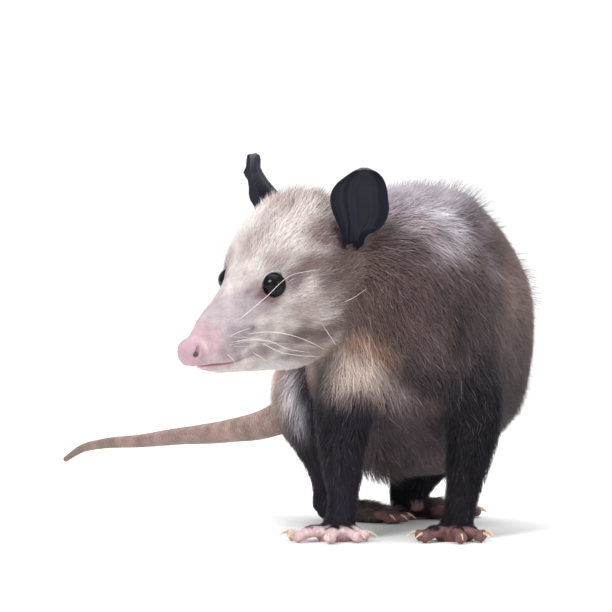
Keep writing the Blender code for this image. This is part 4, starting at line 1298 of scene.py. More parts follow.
# The floor rises behind into a wall, in metres: front, back, curve, top and half width. Lights by their place
# from the layout's centre, size and power.
FLOOR_FRONT, FLOOR_BACK, FLOOR_CURVE, WALL_TOP, FLOOR_HALF = -2.5, 2.2, 0.8, 3.2, 4.0
AIR_STRENGTH = 0.62
FLOOR_GREY = (0.93, 0.93, 0.93, 1)
LIT_POINT = (0.05, 0.06, 0.10)
LIGHTS = (
    ("key", (-0.9, -1.5, 1.3), 0.8, 27),
    ("fill", (1.6, -1.2, 0.9), 1.4, 10),
    ("top", (0.2, 0.5, 1.9), 1.6, 15),
    ("floor_wash", (0.0, -0.2, 2.6), 3.0, 26),
    ("back_wash", (0.0, 1.4, 2.4), 2.0, 14),
)


def build_floor():
    """A pale floor that curves up into a wall behind."""
    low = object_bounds()[0][2]
    rows = [(FLOOR_FRONT, 0.0), (FLOOR_BACK, 0.0)]
    rows += [(FLOOR_BACK + FLOOR_CURVE * math.sin(t), FLOOR_CURVE - FLOOR_CURVE * math.cos(t))
             for t in np.linspace(0.1, math.pi / 2, 14)]
    rows += [(FLOOR_BACK + FLOOR_CURVE, WALL_TOP)]
    verts = [(x + SHIFT[0], y + SHIFT[1], z + low) for y, z in rows for x in (-FLOOR_HALF, FLOOR_HALF)]
    faces = [(2 * k, 2 * k + 1, 2 * k + 3, 2 * k + 2) for k in range(len(rows) - 1)]
    mesh = bpy.data.meshes.new("sweep")
    mesh.from_pydata(verts, [], faces)
    mesh.polygons.foreach_set("use_smooth", [True] * len(faces))
    m = Nodes("pale_floor", 0.9, Specular_IOR_Level=0.1)
    colour = m.node("ShaderNodeRGB").outputs[0]
    colour.default_value = FLOOR_GREY
    mesh.materials.append(m.done(m.tinted(colour, m.noise(3, 2), 0.985, 1.0)))
    sweep = placed("sweep", mesh)


def build_lights(scene):
    """Even light from all round, and soft lamps that point at the animal."""
    world = bpy.data.worlds.new("studio_air")
    world.use_nodes = True
    air = world.node_tree.nodes["Background"].inputs
    air["Color"].default_value = (1, 1, 1, 1)
    air["Strength"].default_value = AIR_STRENGTH
    scene.world = world
    target = Vector(SHIFT) + Vector(LIT_POINT)
    for name, place, size, power in LIGHTS:
        data = bpy.data.lights.new(name, "AREA")
        data.shape, data.size, data.energy = "DISK", size, power
        light = placed(name, data)
        light.location = Vector(SHIFT) + Vector(place)
        light.rotation_euler = (target - light.location).to_track_quat("-Z", "Y").to_euler()


def build_camera(scene):
    """The level view of the photograph."""
    data = bpy.data.cameras.new("view")
    data.sensor_width = SENSOR_MM
    data.lens = SENSOR_MM * LENS_PIXELS / PICTURE
    data.clip_end = 50
    camera = placed("view", data)
    camera.location = Vector(CAMERA_AT + SHIFT)
    camera.rotation_euler = (math.pi / 2, 0, 0)
    scene.camera = camera


def studio():
    scene = bpy.context.scene
    scene.view_settings.view_transform = "Standard"
    build_floor()
    build_lights(scene)
    build_camera(scene)


# The coat

def nearest(values, places):
    """The index of the place nearest to each value. Both have one row a point."""
    return ((values[:, None] - places[None]) ** 2).sum(2).argmin(1)


def lie(points, normals, part):
    """Which way the hair lies at each point of the skin, still with a share that stands off it."""
    way = np.zeros_like(points)
    names = np.array(PARTS)[part]
    trunk = np.isin(names, ("trunk", "neck"))
    out = unit(points - HEAD_AT)
    out[:, 2] -= (0.5 + np.maximum(0, -normals[:, 1])) * (1 - np.abs(normals[:, 2]))
    way[trunk] = out[trunk]
    head = names == "head"
    back = unit(points - in_head(NOSE_FRONT))
    for side in SIDES:
        offset = points - in_head(mirrored(EYE_AT, side))
        far = np.linalg.norm(offset, axis=1)
        back = back + 1.1 * hump((far, 0, 11 * MM))[:, None] * unit(offset)
    way[head] = (back + np.array((0, 0, -0.12)))[head]
    rows = bodies()
    for name in LEGS:
        chosen = names == name
        centres = rows[name][0][:, :3]
        k = nearest(points[chosen][:, 2:], centres[:, 2:])
        along = -unit(np.gradient(centres, axis=0))[k]
        outward = points[chosen] - centres[k]
        outward[:, 2] = 0
        low = (1 - ramp(points[chosen][:, 2], 12 * MM, 22 * MM))[:, None]
        way[chosen] = along + np.array((0, 0.12, 0)) + low * 1.6 * unit(outward)
    chosen = names == "tail"
    centres = rows["tail"][0][:, :3]
    way[chosen] = unit(np.gradient(centres, axis=0))[nearest(points[chosen], centres)]
    return way


def tangent(way, normals):
    """The ways turned into the skin."""
    return unit(way - (way * normals).sum(1)[:, None] * normals)


def bald(points):
    """0 on the nose, along the mouth and round the eyes, 1 on the rest of the head."""
    u, _, w = (to_head(points) / MM).T
    line, _ = near_line(np.stack([u, w], axis=1), MOUTH)
    kept = np.minimum(ramp(u, 109.0, 105.5), np.where(u > 78, ramp(line, 0.7, 1.4), 1))
    for side in SIDES:
        offset = (points - in_head(mirrored(EYE_AT, side))) / MM
        kept = np.minimum(kept, ramp(np.linalg.norm(offset, axis=1), 7.4, 8.2))
    return kept


def coat_fields(skin, part, shares, along):
    """The lie of the coat and its measures at each point of the skin, and the skin's normals."""
    normals = skin.normals()
    flow = tangent(lie(skin.points, normals, part), normals)
    for _ in range(6):
        flow = tangent(skin.relaxed(flow, 6, 0.8), normals)
    names = np.array(PARTS)[part]
    head, tail, legs = names == "head", names == "tail", np.isin(names, list(LEGS))
    u, v, w = (to_head(skin.points) / MM).T
    body = skin.points / MM
    # Longer hair on the cheeks and on the crown, and hair that stands on end on the crown and the back
    cheek = hump((u, 14, 20), (w, -20, 20))
    crown = hump((u, -2, 20)) * ramp(w, 22, 33)
    stand = np.select([head, legs | tail], [0.7 * np.clip(crown * 1.5, 0, 1), 0.0],
                      eased(body, STANDING, 0.0))
    raised = eased(body, RAISED, 1.0)
    follows = {"head": u, "tail": along}
    values = {}
    for key, table in HAIR.items():
        at = {name: np.interp(follows.get(name, body[:, 2]), *zip(*table["leg" if name in LEGS else name]))
              for name in PARTS}
        if key == "length":
            at["head"] = at["head"] + 2 * cheek
        if key == "height":
            at["head"] = at["head"] + 2.0 * cheek + crown * (5 + 7 * hump((np.abs(v), 18, 8)))
            for name, thick in LEG_THICK.items():
                at[name] = thick * at[name]
            for name in ("trunk", "neck"):
                at[name] = at[name] * raised * (1 + 0.35 * stand)
        values[key] = sum(shares[:, k] * at[name] for k, name in enumerate(PARTS))
    # Short, flat hair round the ears' stems
    by_ear = hump((u, 8, 11), (np.abs(v), 31, 8), (w, 5, 11))
    values["length"] = values["length"] * (1 - 0.5 * stand) * (1 - 0.7 * by_ear)
    values["height"] = values["height"] * (1 - 0.9 * by_ear)
    values["fuzz"] = 0.3 * stand
    values["dark"] = np.select([head, legs, tail], [0.12 * ramp(u, 30, 0) + 0.4 * crown, 0.0, 0.1],
                               eased(body, DARK_TIPS, 0.24) + 0.15 * stand)
    values["pale"] = np.select([head, tail], [0.08, 0.2], eased(body, PALE_TIPS, 0.03))
    kept = np.where(head, bald(skin.points), 1) * np.where(tail & (along > 0.2), 0, 1)
    furred = 1 - bareness(skin.points)
    for key in ("number", "wool", "fuzz"):
        values[key] = values[key] * kept * furred
    return flow, normals, values


class Tufts:
    """Roots on the skin, and the tufts that grow from them along it."""

    def __init__(self, skin, tree, flow, normals, fields, colours):
        self.skin, self.tree, self.flow, self.normals = skin, tree, flow, normals
        self.fields, self.colours = fields, colours

    def roots(self, number, rng):
        """Triangles and shares of their corners, spread evenly by a number of tufts per square millimetre."""
        corners = self.skin.points[self.skin.triangles] / MM
        turned = np.cross(corners[:, 1] - corners[:, 0], corners[:, 2] - corners[:, 0])
        area = np.linalg.norm(turned, axis=1) / 2
        total = np.cumsum(area * number[self.skin.triangles].mean(1))
        count = int(total[-1])
        triangle = np.searchsorted(total, np.arange(count) + rng.uniform(0.05, 0.95, count))
        triangle = np.minimum(triangle, len(total) - 1)
        a, b = rng.uniform(size=(2, count))
        flip = a + b > 1
        a, b = np.where(flip, 1 - a, a), np.where(flip, 1 - b, b)
        return triangle, np.stack([1 - a - b, a, b], axis=1)

    def at(self, values, triangle, shares):
        """Values of the skin's points at places inside its triangles."""
        picked = values[self.skin.triangles[triangle]]
        return (picked * (shares[..., None] if picked.ndim == 3 else shares)).sum(1)

    def walked(self, start, flow, length, steps):
        """Places on the skin under each part of a tuft, with the skin's normals and colours there."""
        places, normals, colours = [], [], []
        point, way = start.copy(), flow.copy()
        triangles = self.skin.triangles
        for _ in range(steps):
            point = point + way * (length / steps)[:, None]
            hit = [self.tree.find_nearest(p) for p in point.tolist()]
            point = np.array([h[0] for h in hit])
            normal = np.array([h[1] for h in hit])
            under = triangles[[h[2] for h in hit]]
            corner = self.flow[under].mean(1)
            way = unit(0.55 * way + 0.45 * corner)
            way = tangent(way, normal)
            places.append(point)
            normals.append(normal)
            colours.append(self.colours[under].mean(1))
        return places, normals, colours

    def guides(self, start, reach, crowd, rng):
        """For each tuft, the one that it leans towards: the nearest of a few that are picked at random."""
        few = np.clip(1.3 / (reach**2 * np.maximum(crowd, 0.05)), 0.004, 0.5)
        leaders = rng.uniform(size=len(start)) < few
        leaders[0] = True
        chosen = np.flatnonzero(leaders)
        kd = KDTree(len(chosen))
        for k, index in enumerate(chosen):
            kd.insert(start[index], k)
        kd.balance()
        return chosen[np.array([kd.find(p)[1] for p in start.tolist()])]

    def grown(self, triangle, shares, rings, rng, longer=1.0, higher=1.0, thinner=1.0, clump=0.45, gap=6.0,
              stray=0.16, dark=1.0, pale=1.0, shade=0.07, root=0.7, key="number"):
        """The tufts' middle lines, upward ways, widths and colours, one row a tuft.

        longer, higher and thinner scale a tuft. clump is how far tufts gather round their guides, gap is how
        far apart those are, and stray is how much tufts turn aside. dark and pale scale the shares of dark
        and pale tips, shade is how much tufts differ in tone, and root is the tone of a root, a painted
        shade at the base of the coat.
        """
        count = len(triangle)
        start = self.at(self.skin.points, triangle, shares)
        normal = unit(self.at(self.normals, triangle, shares))
        flow = self.at(self.flow, triangle, shares)
        length, height, width, dark_share, pale_share, crowd = (
            self.at(self.fields[name], triangle, shares)
            for name in ("length", "height", "width", "dark", "pale", key))
        spread = rng.normal(size=(4, count))
        reach = np.clip(gap * np.clip(length / 22, 0.2, 1.1), 1.3, 9)
        length = length * longer * np.clip(1 + 0.2 * spread[0], 0.55, 1.5)
        height = height * higher * np.clip(0.8 + 0.35 * rng.uniform(-1, 1, count), 0.3, 1.3)
        place = start / MM
        swirl = 0.32 * ripple(place, 40, 31) + 0.32 * ripple(place, 15, 32) + 0.2 * ripple(place, 7, 33)
        turn = stray * spread[1] + swirl * np.clip(length / 17, 0.3, 1)
        flow = tangent(flow + np.cross(normal, flow) * np.tan(np.clip(turn, -1.1, 1.1))[:, None], normal)
        places, ups, under = self.walked(start, flow, length * MM, rings)
        middle = [start - normal * ROOT_DEPTH]
        middle += [p + n * (height * h * MM)[:, None] for p, n, h in zip(places, ups, TUFT_HEIGHTS[rings])]
        middle, ups = np.stack(middle, axis=1), np.stack([normal, *ups], axis=1)
        guide = self.guides(start, reach, crowd, rng)
        middle = self.gathered(middle, ups, guide, length * MM, clump, rng)
        hues = np.stack([self.at(self.colours, triangle, shares), *under], axis=1)
        family = shade * spread[2] + shade * 1.5 * rng.normal(size=count)[guide]
        colours = self.tinged(hues, np.exp(family), root, dark_share * dark, pale_share * pale, rng)
        return middle, ups, width * thinner, colours

    def gathered(self, middle, ups, guide, length, clump, rng):
        """The middle lines drawn together towards their guides, and waved a little."""
        count = len(middle)
        share = np.linspace(0, 1, middle.shape[1])
        gather = clump * rng.uniform(0.4, 1.25, count)[:, None, None] * (share**1.3)[None, :, None]
        near = np.linalg.norm(middle[guide] - middle, axis=2).max(1) < 1.2 * length
        middle = mixed(middle, middle[guide], np.where(near[:, None, None], gather, 0))
        wave = (length * 0.04)[:, None] * np.sin(share[None] * 4.2 + rng.uniform(0, 6.3, (count, 1)))
        side = np.cross(ups, np.gradient(middle, axis=1))
        middle = middle + unit(side) * (wave * share)[..., None]
        middle[..., 2] = np.maximum(middle[..., 2], LOWEST_HAIR)
        return middle

    def tinged(self, hues, light, root, dark, pale, rng):
        """The skin's colours along each tuft with painted shade at the root, some with a dark or pale tip."""
        share = np.linspace(0, 1, hues.shape[1])
        colours = (0.4 * hues + 0.6 * hues.mean(1, keepdims=True)) * light[:, None, None]
        frosted = 0.2 + 0.8 * np.clip(colours.mean((1, 2)) / 0.2, 0, 1)
        # Painted shade: each tuft darker towards its root, where the coat shades itself
        tone = np.interp(share, (0, 0.35, 0.75, 1), (root, 0.5 + root / 2, 1.02, 1.04))
        colours = colours * tone[None, :, None]
        kind = rng.uniform(size=len(hues))
        for low, high, target, strength in ((0, dark, DARK_TIP, 0.55),
                                            (dark, dark + pale, PALE_TIP, 0.5 * frosted)):
            picked = np.where((kind >= low) & (kind < high), strength, 0)
            amount = picked[:, None] * ramp(share, 0.2, 0.9)[None]
            colours = mixed(colours, srgb(*target), amount[..., None])
        return np.clip(colours, 0.002, 0.9)


def tuft_faces(rings):
    """Triangles of one tuft: rings of three points and a tip."""
    found = [(0, 2, 1)]
    for a, b, c, d in ring_faces(0, 3, rings):
        found += [(a, b, c), (a, c, d)]
    last = 3 * (rings - 1)
    return np.array(found + [(last + i, last + (i + 1) % 3, 3 * rings) for i in range(3)])


def tuft_piece(name, material, slot, middle, ups, width, colours, chart):
    """One piece of the coat. chart holds each root's place on the unwrapped skin."""
    count, rings = len(middle), middle.shape[1] - 1
    along = unit(np.gradient(middle, axis=1))
    across = unit(np.cross(ups, along))
    up = np.cross(along, across)
    wide = (width[:, None] * MM * np.array(TUFT_WIDTHS[rings]) / 2)[..., None]
    middles = middle[:, :rings]
    a, b = across[:, :rings] * wide, up[:, :rings] * wide * 0.8
    verts = np.stack([middles + a, middles + b, middles - a], axis=2).reshape(count, rings * 3, 3)
    verts = np.concatenate([verts, middle[:, rings:]], axis=1)
    per = rings * 3 + 1
    faces = (tuft_faces(rings)[None] + (np.arange(count) * per)[:, None, None]).reshape(-1, 3)
    paint = np.concatenate([np.repeat(colours[:, :rings], 3, axis=1), colours[:, rings:]], axis=1)
    obj = piece(name, verts.reshape(-1, 3), faces, paint.reshape(-1, 3), (material,))
    soft = ups[:, :rings, None] * SOFTNESS
    facing = np.stack([across[:, :rings], up[:, :rings], -across[:, :rings]], axis=2) * (1 - SOFTNESS)
    facing = np.concatenate([unit(soft + facing).reshape(count, rings * 3, 3), ups[:, rings:]], axis=1)
    obj.data.normals_split_custom_set_from_vertices(facing.reshape(-1, 3).tolist())
    chart = (chart - chart.min(0)) / np.maximum(np.ptp(chart, axis=0), 1e-6) * 0.97 + 0.01
    share = np.concatenate([np.repeat(np.arange(rings) / rings, 3), [1.0]])
    aside = np.concatenate([np.tile((0, 0.5, 1.0), rings), [0.5]])
    patch = chart[:, None, :] + PATCH * np.stack([aside, share], axis=1)[None]
    uv = patch.reshape(-1, 2)[faces.ravel()]
    layer = obj.data.uv_layers.new(name="OFBake")
    layer.uv.foreach_set("vector", uv.astype(np.float32).ravel())
    return dress(obj, slot)


def build_coat(skin, colours, part, shares, along, around):
    """The coat, layer by layer, in pieces by body part."""
    flow, normals, fields = coat_fields(skin, part, shares, along)
    tufts = Tufts(skin, skin.tree(), flow, normals, fields, colours)
    rng = np.random.default_rng(COAT_SEED)
    material = coat_material()
    names = np.array(PARTS)[part]
    head, legs = names == "head", np.isin(names, list(LEGS))
    regions = {"head": head, "legs": legs, "body": ~head & ~legs}
    made = {}
    for where, key, share, rings, options in COAT_LAYERS:
        triangle, corners = tufts.roots(fields[key] * regions[where] * share, rng)
        found = tufts.grown(triangle, corners, rings, rng, key=key, **options)
        corner = skin.triangles[triangle, corners.argmax(1)]
        chart = np.stack([around[corner], along[corner]], axis=1)
        for number, name in enumerate(PARTS):
            chosen = part[corner] == number
            if chosen.sum() >= FEWEST_TUFTS:
                jitter = rng.uniform(-0.5, 0.5, (chosen.sum(), 2)) * 0.012
                lot = [values[chosen] for values in found] + [chart[chosen] + jitter]
                made.setdefault((name, rings), []).append(lot)
    for (name, rings), lots in sorted(made.items()):
        joined = [np.concatenate(values) for values in zip(*lots)]
        order = np.argsort(joined[4][:, 1], kind="stable")
        pieces = max(1, math.ceil(len(order) / TUFTS_PER_PIECE[rings]))
        slot = {"head": "pale_fur", **dict.fromkeys(LEGS, "black_fur")}.get(name, "grizzled_fur")
        for k, chosen in enumerate(np.array_split(order, pieces)):
            tuft_piece(f"coat_{name}_{TUFT_WORD[rings]}_{k + 1}", material, slot,
                       *(values[chosen] for values in joined))


# The pieces that stay apart from the skin

def tail_scales():
    """Points, faces and colours of the bare tail: rings of small overlapping plates, out to the tip."""
    count, sides = TAIL_RINGS, TAIL_SIDES
    rows, across, up = stations(TAIL_ROUND, count, UPWARDS)
    length = np.concatenate([[0], np.cumsum(np.linalg.norm(np.diff(rows[:, :3], axis=0), axis=1))]) / MM
    share = length / length[-1]
    turn = circle(sides)
    row = np.cumsum(np.gradient(length) / np.interp(share, *zip(*PLATE_LENGTH)))
    plates = np.round(np.interp(share, *zip(*PLATES_ROUND)))
    phase = row % 1
    scale = (0.5 + 0.5 * np.cos(plates[:, None] * turn[None] + math.pi * np.floor(row)[:, None])) ** 0.5
    ridge = (1 - phase[:, None] ** 1.5) * (0.35 + 0.65 * scale)
    radius = rows[:, 3] * np.interp(share, (0, 0.045, 0.1, 1), (0.7, 0.86, 1.0, 1.0))
    lump = 1 + 0.012 * ripple(rows[:, :3] / MM, 22, 91)
    relief = 0.2 * MM * (ridge - 0.7) * np.interp(share, (0, 1), (1.1, 0.6))[:, None]
    radial = radius[:, None] * lump[:, None] + relief
    ways = spokes(turn, across[:, None], up[:, None])
    start = int(np.searchsorted(share, TAIL_START))
    rings = count - start
    verts = (rows[:, None, :3] + radial[..., None] * ways)[start:].reshape(-1, 3)
    tip = len(verts)
    verts = np.concatenate([verts, [rows[-1, :3] + unit(rows[-1, :3] - rows[-8, :3]) * 1.6 * MM]])
    last = (rings - 1) * sides
    faces = ring_faces(0, sides, rings) + [(last + i, last + (i + 1) % sides, tip) for i in range(sides)]
    faces.append(tuple(range(sides))[::-1])
    tone = np.repeat(np.interp(share[start:], (0, 0.25, 0.7, 1), (0.86, 1.0, 0.92, 0.72)), sides)
    mottle = 1 + 0.13 * ripple(verts[:-1] / MM, 12, 92) + 0.10 * ripple(verts[:-1] / MM, 3.5, 93)
    # Painted light from above: a tenth lighter on top and a tenth darker underneath
    under = 1 + 0.10 * np.sin(np.tile(turn, rings))
    # Painted shade, darker in the grooves between the scales
    groove_shade = 0.62 + 0.38 * ridge[start:].reshape(-1)
    colours = srgb(*TAIL_SKIN)[None] * (tone * mottle * under * groove_shade)[:, None]
    return verts, faces, np.concatenate([colours, [srgb(*TAIL_SKIN) * 0.6]])


# The left ear's front and rear edges as the picture shows them, in its pixels, from the lower end to the top
EAR_FRONT = (
    (354, 257.5), (347.5, 252.5), (344, 247), (342.4, 240), (340.6, 232), (335.6, 219.5), (331.6, 209),
    (330, 199.5), (331.4, 191.5), (336.3, 183.8), (344, 177.4), (354, 171.2), (365, 169.2),
)
EAR_REAR = (
    (354, 257.5), (359.5, 250), (363.6, 244), (365, 239), (368, 234.8), (375, 232), (381.6, 227),
    (386.9, 218.5), (389.1, 209), (388.2, 198), (386.6, 187), (383.2, 178.4), (377, 172), (365, 169.2),
)
# Where the right ear's outline runs in the picture, by row: its left and right
EAR_FAR = (
    (153.2, 250, 255.5), (155, 247.2, 258.8), (159, 246.5, 259.8), (167, 245.8, 259.6),
    (172, 243.3, 261.5), (176, 244.8, 264), (180, 247.6, 266.5), (188, 248.8, 273), (194, 248.6, 278),
    (200, 250, 281), (207, 254.5, 284), (241, 262, 286),
)
EAR_ROWS, EAR_COLUMNS = 84, 53


def ear_sheet():
    """The left ear's inner face as a grid of points, with the way it faces."""
    facing = unit(np.array(EAR_FACES)) @ AXES
    root = in_head(EAR_AT) + facing * EAR_FORWARD
    edges = []
    for line in (EAR_FRONT, EAR_REAR):
        rays = picture_rays(line)
        reach = ((root - CAMERA_AT) @ facing) / (rays @ facing)
        edges.append(smoothed(CAMERA_AT + rays * reach[:, None], EAR_ROWS))
    front, rear = edges
    s = np.linspace(0, 1, EAR_ROWS)[:, None]
    t = np.linspace(-1, 1, EAR_COLUMNS)[None]
    wide = np.linalg.norm(rear - front, axis=1)[:, None] / MM
    middle = np.sin(math.pi * np.clip(s, 0, 1))
    cup = np.minimum(0.62 * wide, 5.5 + 0.07 * wide) * (1 - np.abs(t) ** 2.4)
    cup = cup + 6.5 * ramp(s, 0.16, 0.0)
    folds = 0.55 * np.cos(9 * t + 0.8 + 1.5 * s) + 0.2 * np.cos(23 * t + 5 * s)
    cup = cup + (folds * (1 - t**4) - 0.5 * ramp(np.abs(t), 0.84, 0.97)) * middle
    grid = front[:, None] + (rear - front)[:, None] * ((t + 1) / 2)[..., None]
    return grid - facing * (cup * MM)[..., None], facing, s, t


def far_ear(sheets):
    """The right ear's two faces: the left's mirrored, then drawn across the view to the picture's outline."""
    rows, lefts, rights = zip(*EAR_FAR)
    done = []
    for sheet in sheets:
        sheet = other_side(sheet.reshape(-1, 3)).reshape(sheet.shape)
        reach = (sheet[..., 1] - CAMERA_AT[1]) / LENS_PIXELS
        column = PICTURE / 2 + sheet[..., 0] / reach
        row = PICTURE / 2 - (sheet[..., 2] - CAMERA_AT[2]) / reach
        if not done:
            top, foot = row.min(), row.max()
            low, high = column.min(1, keepdims=True), column.max(1, keepdims=True)
        wanted_row = rows[0] + (row - top) / (foot - top) * (rows[-1] - rows[0])
        left, right = np.interp(wanted_row, rows, lefts), np.interp(wanted_row, rows, rights)
        wanted = (left + right) / 2 + (column - (low + high) / 2) * (right - left) / np.maximum(high - low, 4)
        sheet[..., 0] += (wanted - column) * reach
        sheet[..., 2] -= (wanted_row - row) * reach
        done.append(sheet)
    return done


def build_ear(side, material):
    """A thin ear, folded to a stem below and cupped above. The right one is seen from its edge."""
    grid, facing, s, t = ear_sheet()
    thick = EAR_THICK * (0.25 + 0.75 * (1 - np.abs(t) ** 6)) * (1 - 0.5 * s)
    sheets = [grid, grid - facing * thick[..., None]]
    if side < 0:
        sheets = far_ear(sheets)
    number = np.arange(EAR_ROWS * EAR_COLUMNS).reshape(EAR_ROWS, EAR_COLUMNS)
    n = number.size
    faces = []
    for a in number[:-1, :-1].ravel():
        b, c, d = a + 1, a + 1 + EAR_COLUMNS, a + EAR_COLUMNS
        faces += [(a, b, c, d), (n + a, n + d, n + c, n + b)]
    rim = [*number[0], *number[1:, -1], *number[-1, -2::-1], *number[-2:0:-1, 0]]
    faces += [(a, n + a, n + b, b) for a, b in zip(rim, rim[1:] + rim[:1])]
    edge = np.clip(ramp(np.abs(t), 0.88, 1.0) + ramp(s, 0.95, 1.0), 0, 1)
    # Lighter at the edges, with painted sheen: lighter towards the top and in bands that follow the folds
    tone = 0.72 + 0.3 * edge + 0.6 * ramp(s, 0.35, 1.0) + 0.16 * np.cos(9 * t + 0.8 + 1.5 * s)
    colours = np.tile((srgb(*EAR_SLATE)[None, None] * tone[..., None]).reshape(-1, 3), (2, 1))
    verts = np.concatenate([sheet.reshape(-1, 3) for sheet in sheets])
    obj = paired("ear_{}_blade", side, verts, faces, colours, material)
    return dress(obj, "ear_skin", f"ear_{SIDES[side]}")


def build_eye(side, material):
    """A dark wet eyeball, a little more curved in front."""
    centre, facing, front, upward = eye_ways(side)
    sides = 56
    angles = np.linspace(0, math.pi, 33)[1:-1]
    ring = spokes(circle(sides), front, upward)
    rings = []
    for angle in angles:
        bulge = 1 + EYE_BULGE * hump((angle, 0, 0.55))
        rings.append(centre + EYE_RADIUS * bulge * (math.cos(angle) * facing + math.sin(angle) * ring))
    ends = [centre + EYE_RADIUS * (1 + EYE_BULGE) * facing, centre - EYE_RADIUS * facing]
    verts = np.concatenate([*rings, ends])
    tip = len(rings) * sides
    last = tip - sides
    faces = [(a, d, c, b) for a, b, c, d in ring_faces(0, sides, len(rings))]
    faces += [(tip, i, (i + 1) % sides) for i in range(sides)]
    faces += [(tip + 1, last + (i + 1) % sides, last + i) for i in range(sides)]
    share = np.concatenate([np.repeat(angles / math.pi, sides), [0.0, 1.0]])
    colours = mixed(srgb(*EYE_BLACK), srgb(*EYE_BROWN), 0.4 * hump((share, 0.17, 0.05))[:, None])
    return dress(paired("eyeball_{}", side, verts, faces, colours, material), "eye", f"eye_{SIDES[side]}")


# The lid's rings: degrees past the opening, height over the eyeball, share of the way out to the skin, share
# of the outer colour, and share of the painted highlight on the upper rim
LID = (
    (-3, -0.6, 0, 0.0, 0), (-1.2, 0.05, 0, 0.0, 0.0), (0.2, 0.3, 0, 0.05, 0.25), (2.2, 0.48, 0, 0.2, 0.8),
    (4.6, 0.5, 0.05, 0.5, 0.6), (7.5, 0.4, 0.3, 0.8, 0.2), (11, 0.25, 0.7, 1.0, 0), (15, 0.1, 0.97, 1.0, 0),
    (20, 0, 1, 1.0, 0),
)
LID_DEEP_ROWS = 6              # whose inner corner is dark


def build_lid(side, tree, material):
    """The rim of lid skin round the eye, with its inner corner drawn down towards the nose."""
    centre, facing, front, upward = eye_ways(side)
    sides = 96
    turn = circle(sides)
    opening, corner = eye_opening(turn)
    top = np.maximum(0, np.sin(turn))
    ring = spokes(turn, front, upward)
    grid, colours = [], []
    for k, (extra, lift, share, edge, rim_highlight) in enumerate(LID):
        angle = np.radians(opening + extra)[:, None]
        way = np.cos(angle) * facing + np.sin(angle) * ring
        thick = lift * (1 + 0.5 * top - 0.4 * corner)
        point = centre + way * (EYE_RADIUS + thick * MM)[:, None]
        found = [tree.find_nearest(p) for p in point.tolist()]
        onto, outward = (np.array([list(f[j]) for f in found]) for j in (0, 1))
        grid.append(mixed(point, onto - outward * (0.1 + 0.35 * (share == 1)) * MM, share))
        colour = mixed(srgb(*LID_DARK), srgb(*LID_RIM), edge)
        # A painted highlight along the upper rim, strongest at the top and none at the inner corner
        light = (rim_highlight * ramp(top, 0.35, 0.9) * (1 - corner))[:, None]
        deep = (0.75 * corner * (k < LID_DEEP_ROWS))[:, None]
        colours.append(mixed(mixed(colour, srgb(*LID_HIGHLIGHT), light), srgb(*LID_CORNER), deep))
    faces = ring_faces(0, sides, len(LID))
    obj = paired("lid_{}", side, np.concatenate(grid), faces, np.concatenate(colours), material)
    return dress(obj, "nose_skin")


def build_claws(material):
    """Curved claws that grow out of the upper side of the fingers' and toes' tips."""
    verts, faces, colours, nodes = [], [], [], []
    rings, sides = 11, 12
    turn = circle(sides)
    up = np.sin(turn)
    root, middle, tip = srgb(*CLAW_ROOT_TONE), srgb(*CLAW_MIDDLE_TONE), srgb(*CLAW_TIP_TONE)
    for node, base, angle, reach, _, _ in feet():
        if node is None:
            continue
        nodes.append(node)
        way = np.array((math.cos(angle), math.sin(angle), 0))
        across = np.array((-way[1], way[0], 0))
        start = np.array((base[0], base[1], CLAW_HEIGHT)) * MM + way * (reach + 0.3) * MM
        faces += capped(len(verts), sides, rings)
        for s in np.linspace(0, 1, rings):
            forward = (-CLAW_ROOT + (CLAW_LENGTH + CLAW_ROOT) * s) * MM
            drop = (CLAW_DROP * s**2.2 - 0.6 * math.sin(s * math.pi)) * MM
            tall = (CLAW_RADIUS * (1 - s**1.7) * 0.9 + 0.1) * MM
            wide = np.cos(turn) * tall * 0.66 * np.where(up < 0, 1 + 0.25 * up, 1)
            ring = start + way * forward + wide[:, None] * across
            verts += list(ring + (up * tall - drop)[:, None] * np.array((0, 0, 1.0)))
            colour = mixed(mixed(root, middle, ramp(s, 0.15, 0.45)), tip, ramp(s, 0.6, 1.0))
            # Painted light from above: each claw up to 12 per cent lighter on top and darker underneath
            colours += [colour * (1 + 0.12 * high) for high in up]
    return dress(piece("claws", verts, faces, colours, (material,)), "claw_horn", *nodes)


# Whiskers as the picture shows them, in its pixels from root to tip, and how far each stands off in the end
WHISKERS = (
    (((239, 320), (265, 298), (292, 275), (316.5, 270)), 12),
    (((226.5, 338), (240, 331.5), (251, 328)), 5),
    (((246, 334), (272.5, 332), (303, 339), (324, 349)), 14),
    (((240, 340), (269, 341), (288, 349), (309, 352.5)), 16),
    (((262, 343), (280, 352), (295, 355), (320, 357)), 16),
    (((225, 352.5), (234, 361), (236, 367)), 4),
    (((331, 306), (353, 298), (366, 289)), 7),
    (((318, 318), (326, 330), (336, 345)), 5),
    (((252, 352), (262, 358), (270, 364)), 5),
)


WHISKER_THICK, BRISTLE_THICK, BROW_THICK = 0.24, 0.09, 0.07
BRISTLES, BROW_HAIRS = 7, 2    # on each side
WHISKER_SEED = 5


def whisker_line(pixels, stand, tree):
    """A smooth line through picture points, from the skin to up to stand millimetres in front of it."""
    found, last = [], None
    for k, ray in enumerate(picture_rays(pixels)):
        hit = tree.ray_cast(Vector(CAMERA_AT), Vector(unit(ray)))[0]
        share = k / (len(pixels) - 1)
        depth = (hit[1] - CAMERA_AT[1]) if hit is not None else last
        depth = depth - (stand * share**1.2 - 0.8 * (k == 0)) * MM
        last = depth if last is None else min(depth, last + 3 * MM)
        found.append(CAMERA_AT + ray * last)
    return smoothed(found, 18)


def bristle(tree, start, out, back, size, reach, count):
    """The line of a short hair from the skin nearest to its start, bent back. All are in the head's frame."""
    root = np.array(tree.find_nearest(in_head(np.array(start) * MM))[0])
    t = np.linspace(0, 1, count)[:, None]
    out, back = np.array(out) @ AXES, np.array(back) @ AXES
    return root + size * MM * (unit(out) * t * reach + back * t**2 * 0.5)


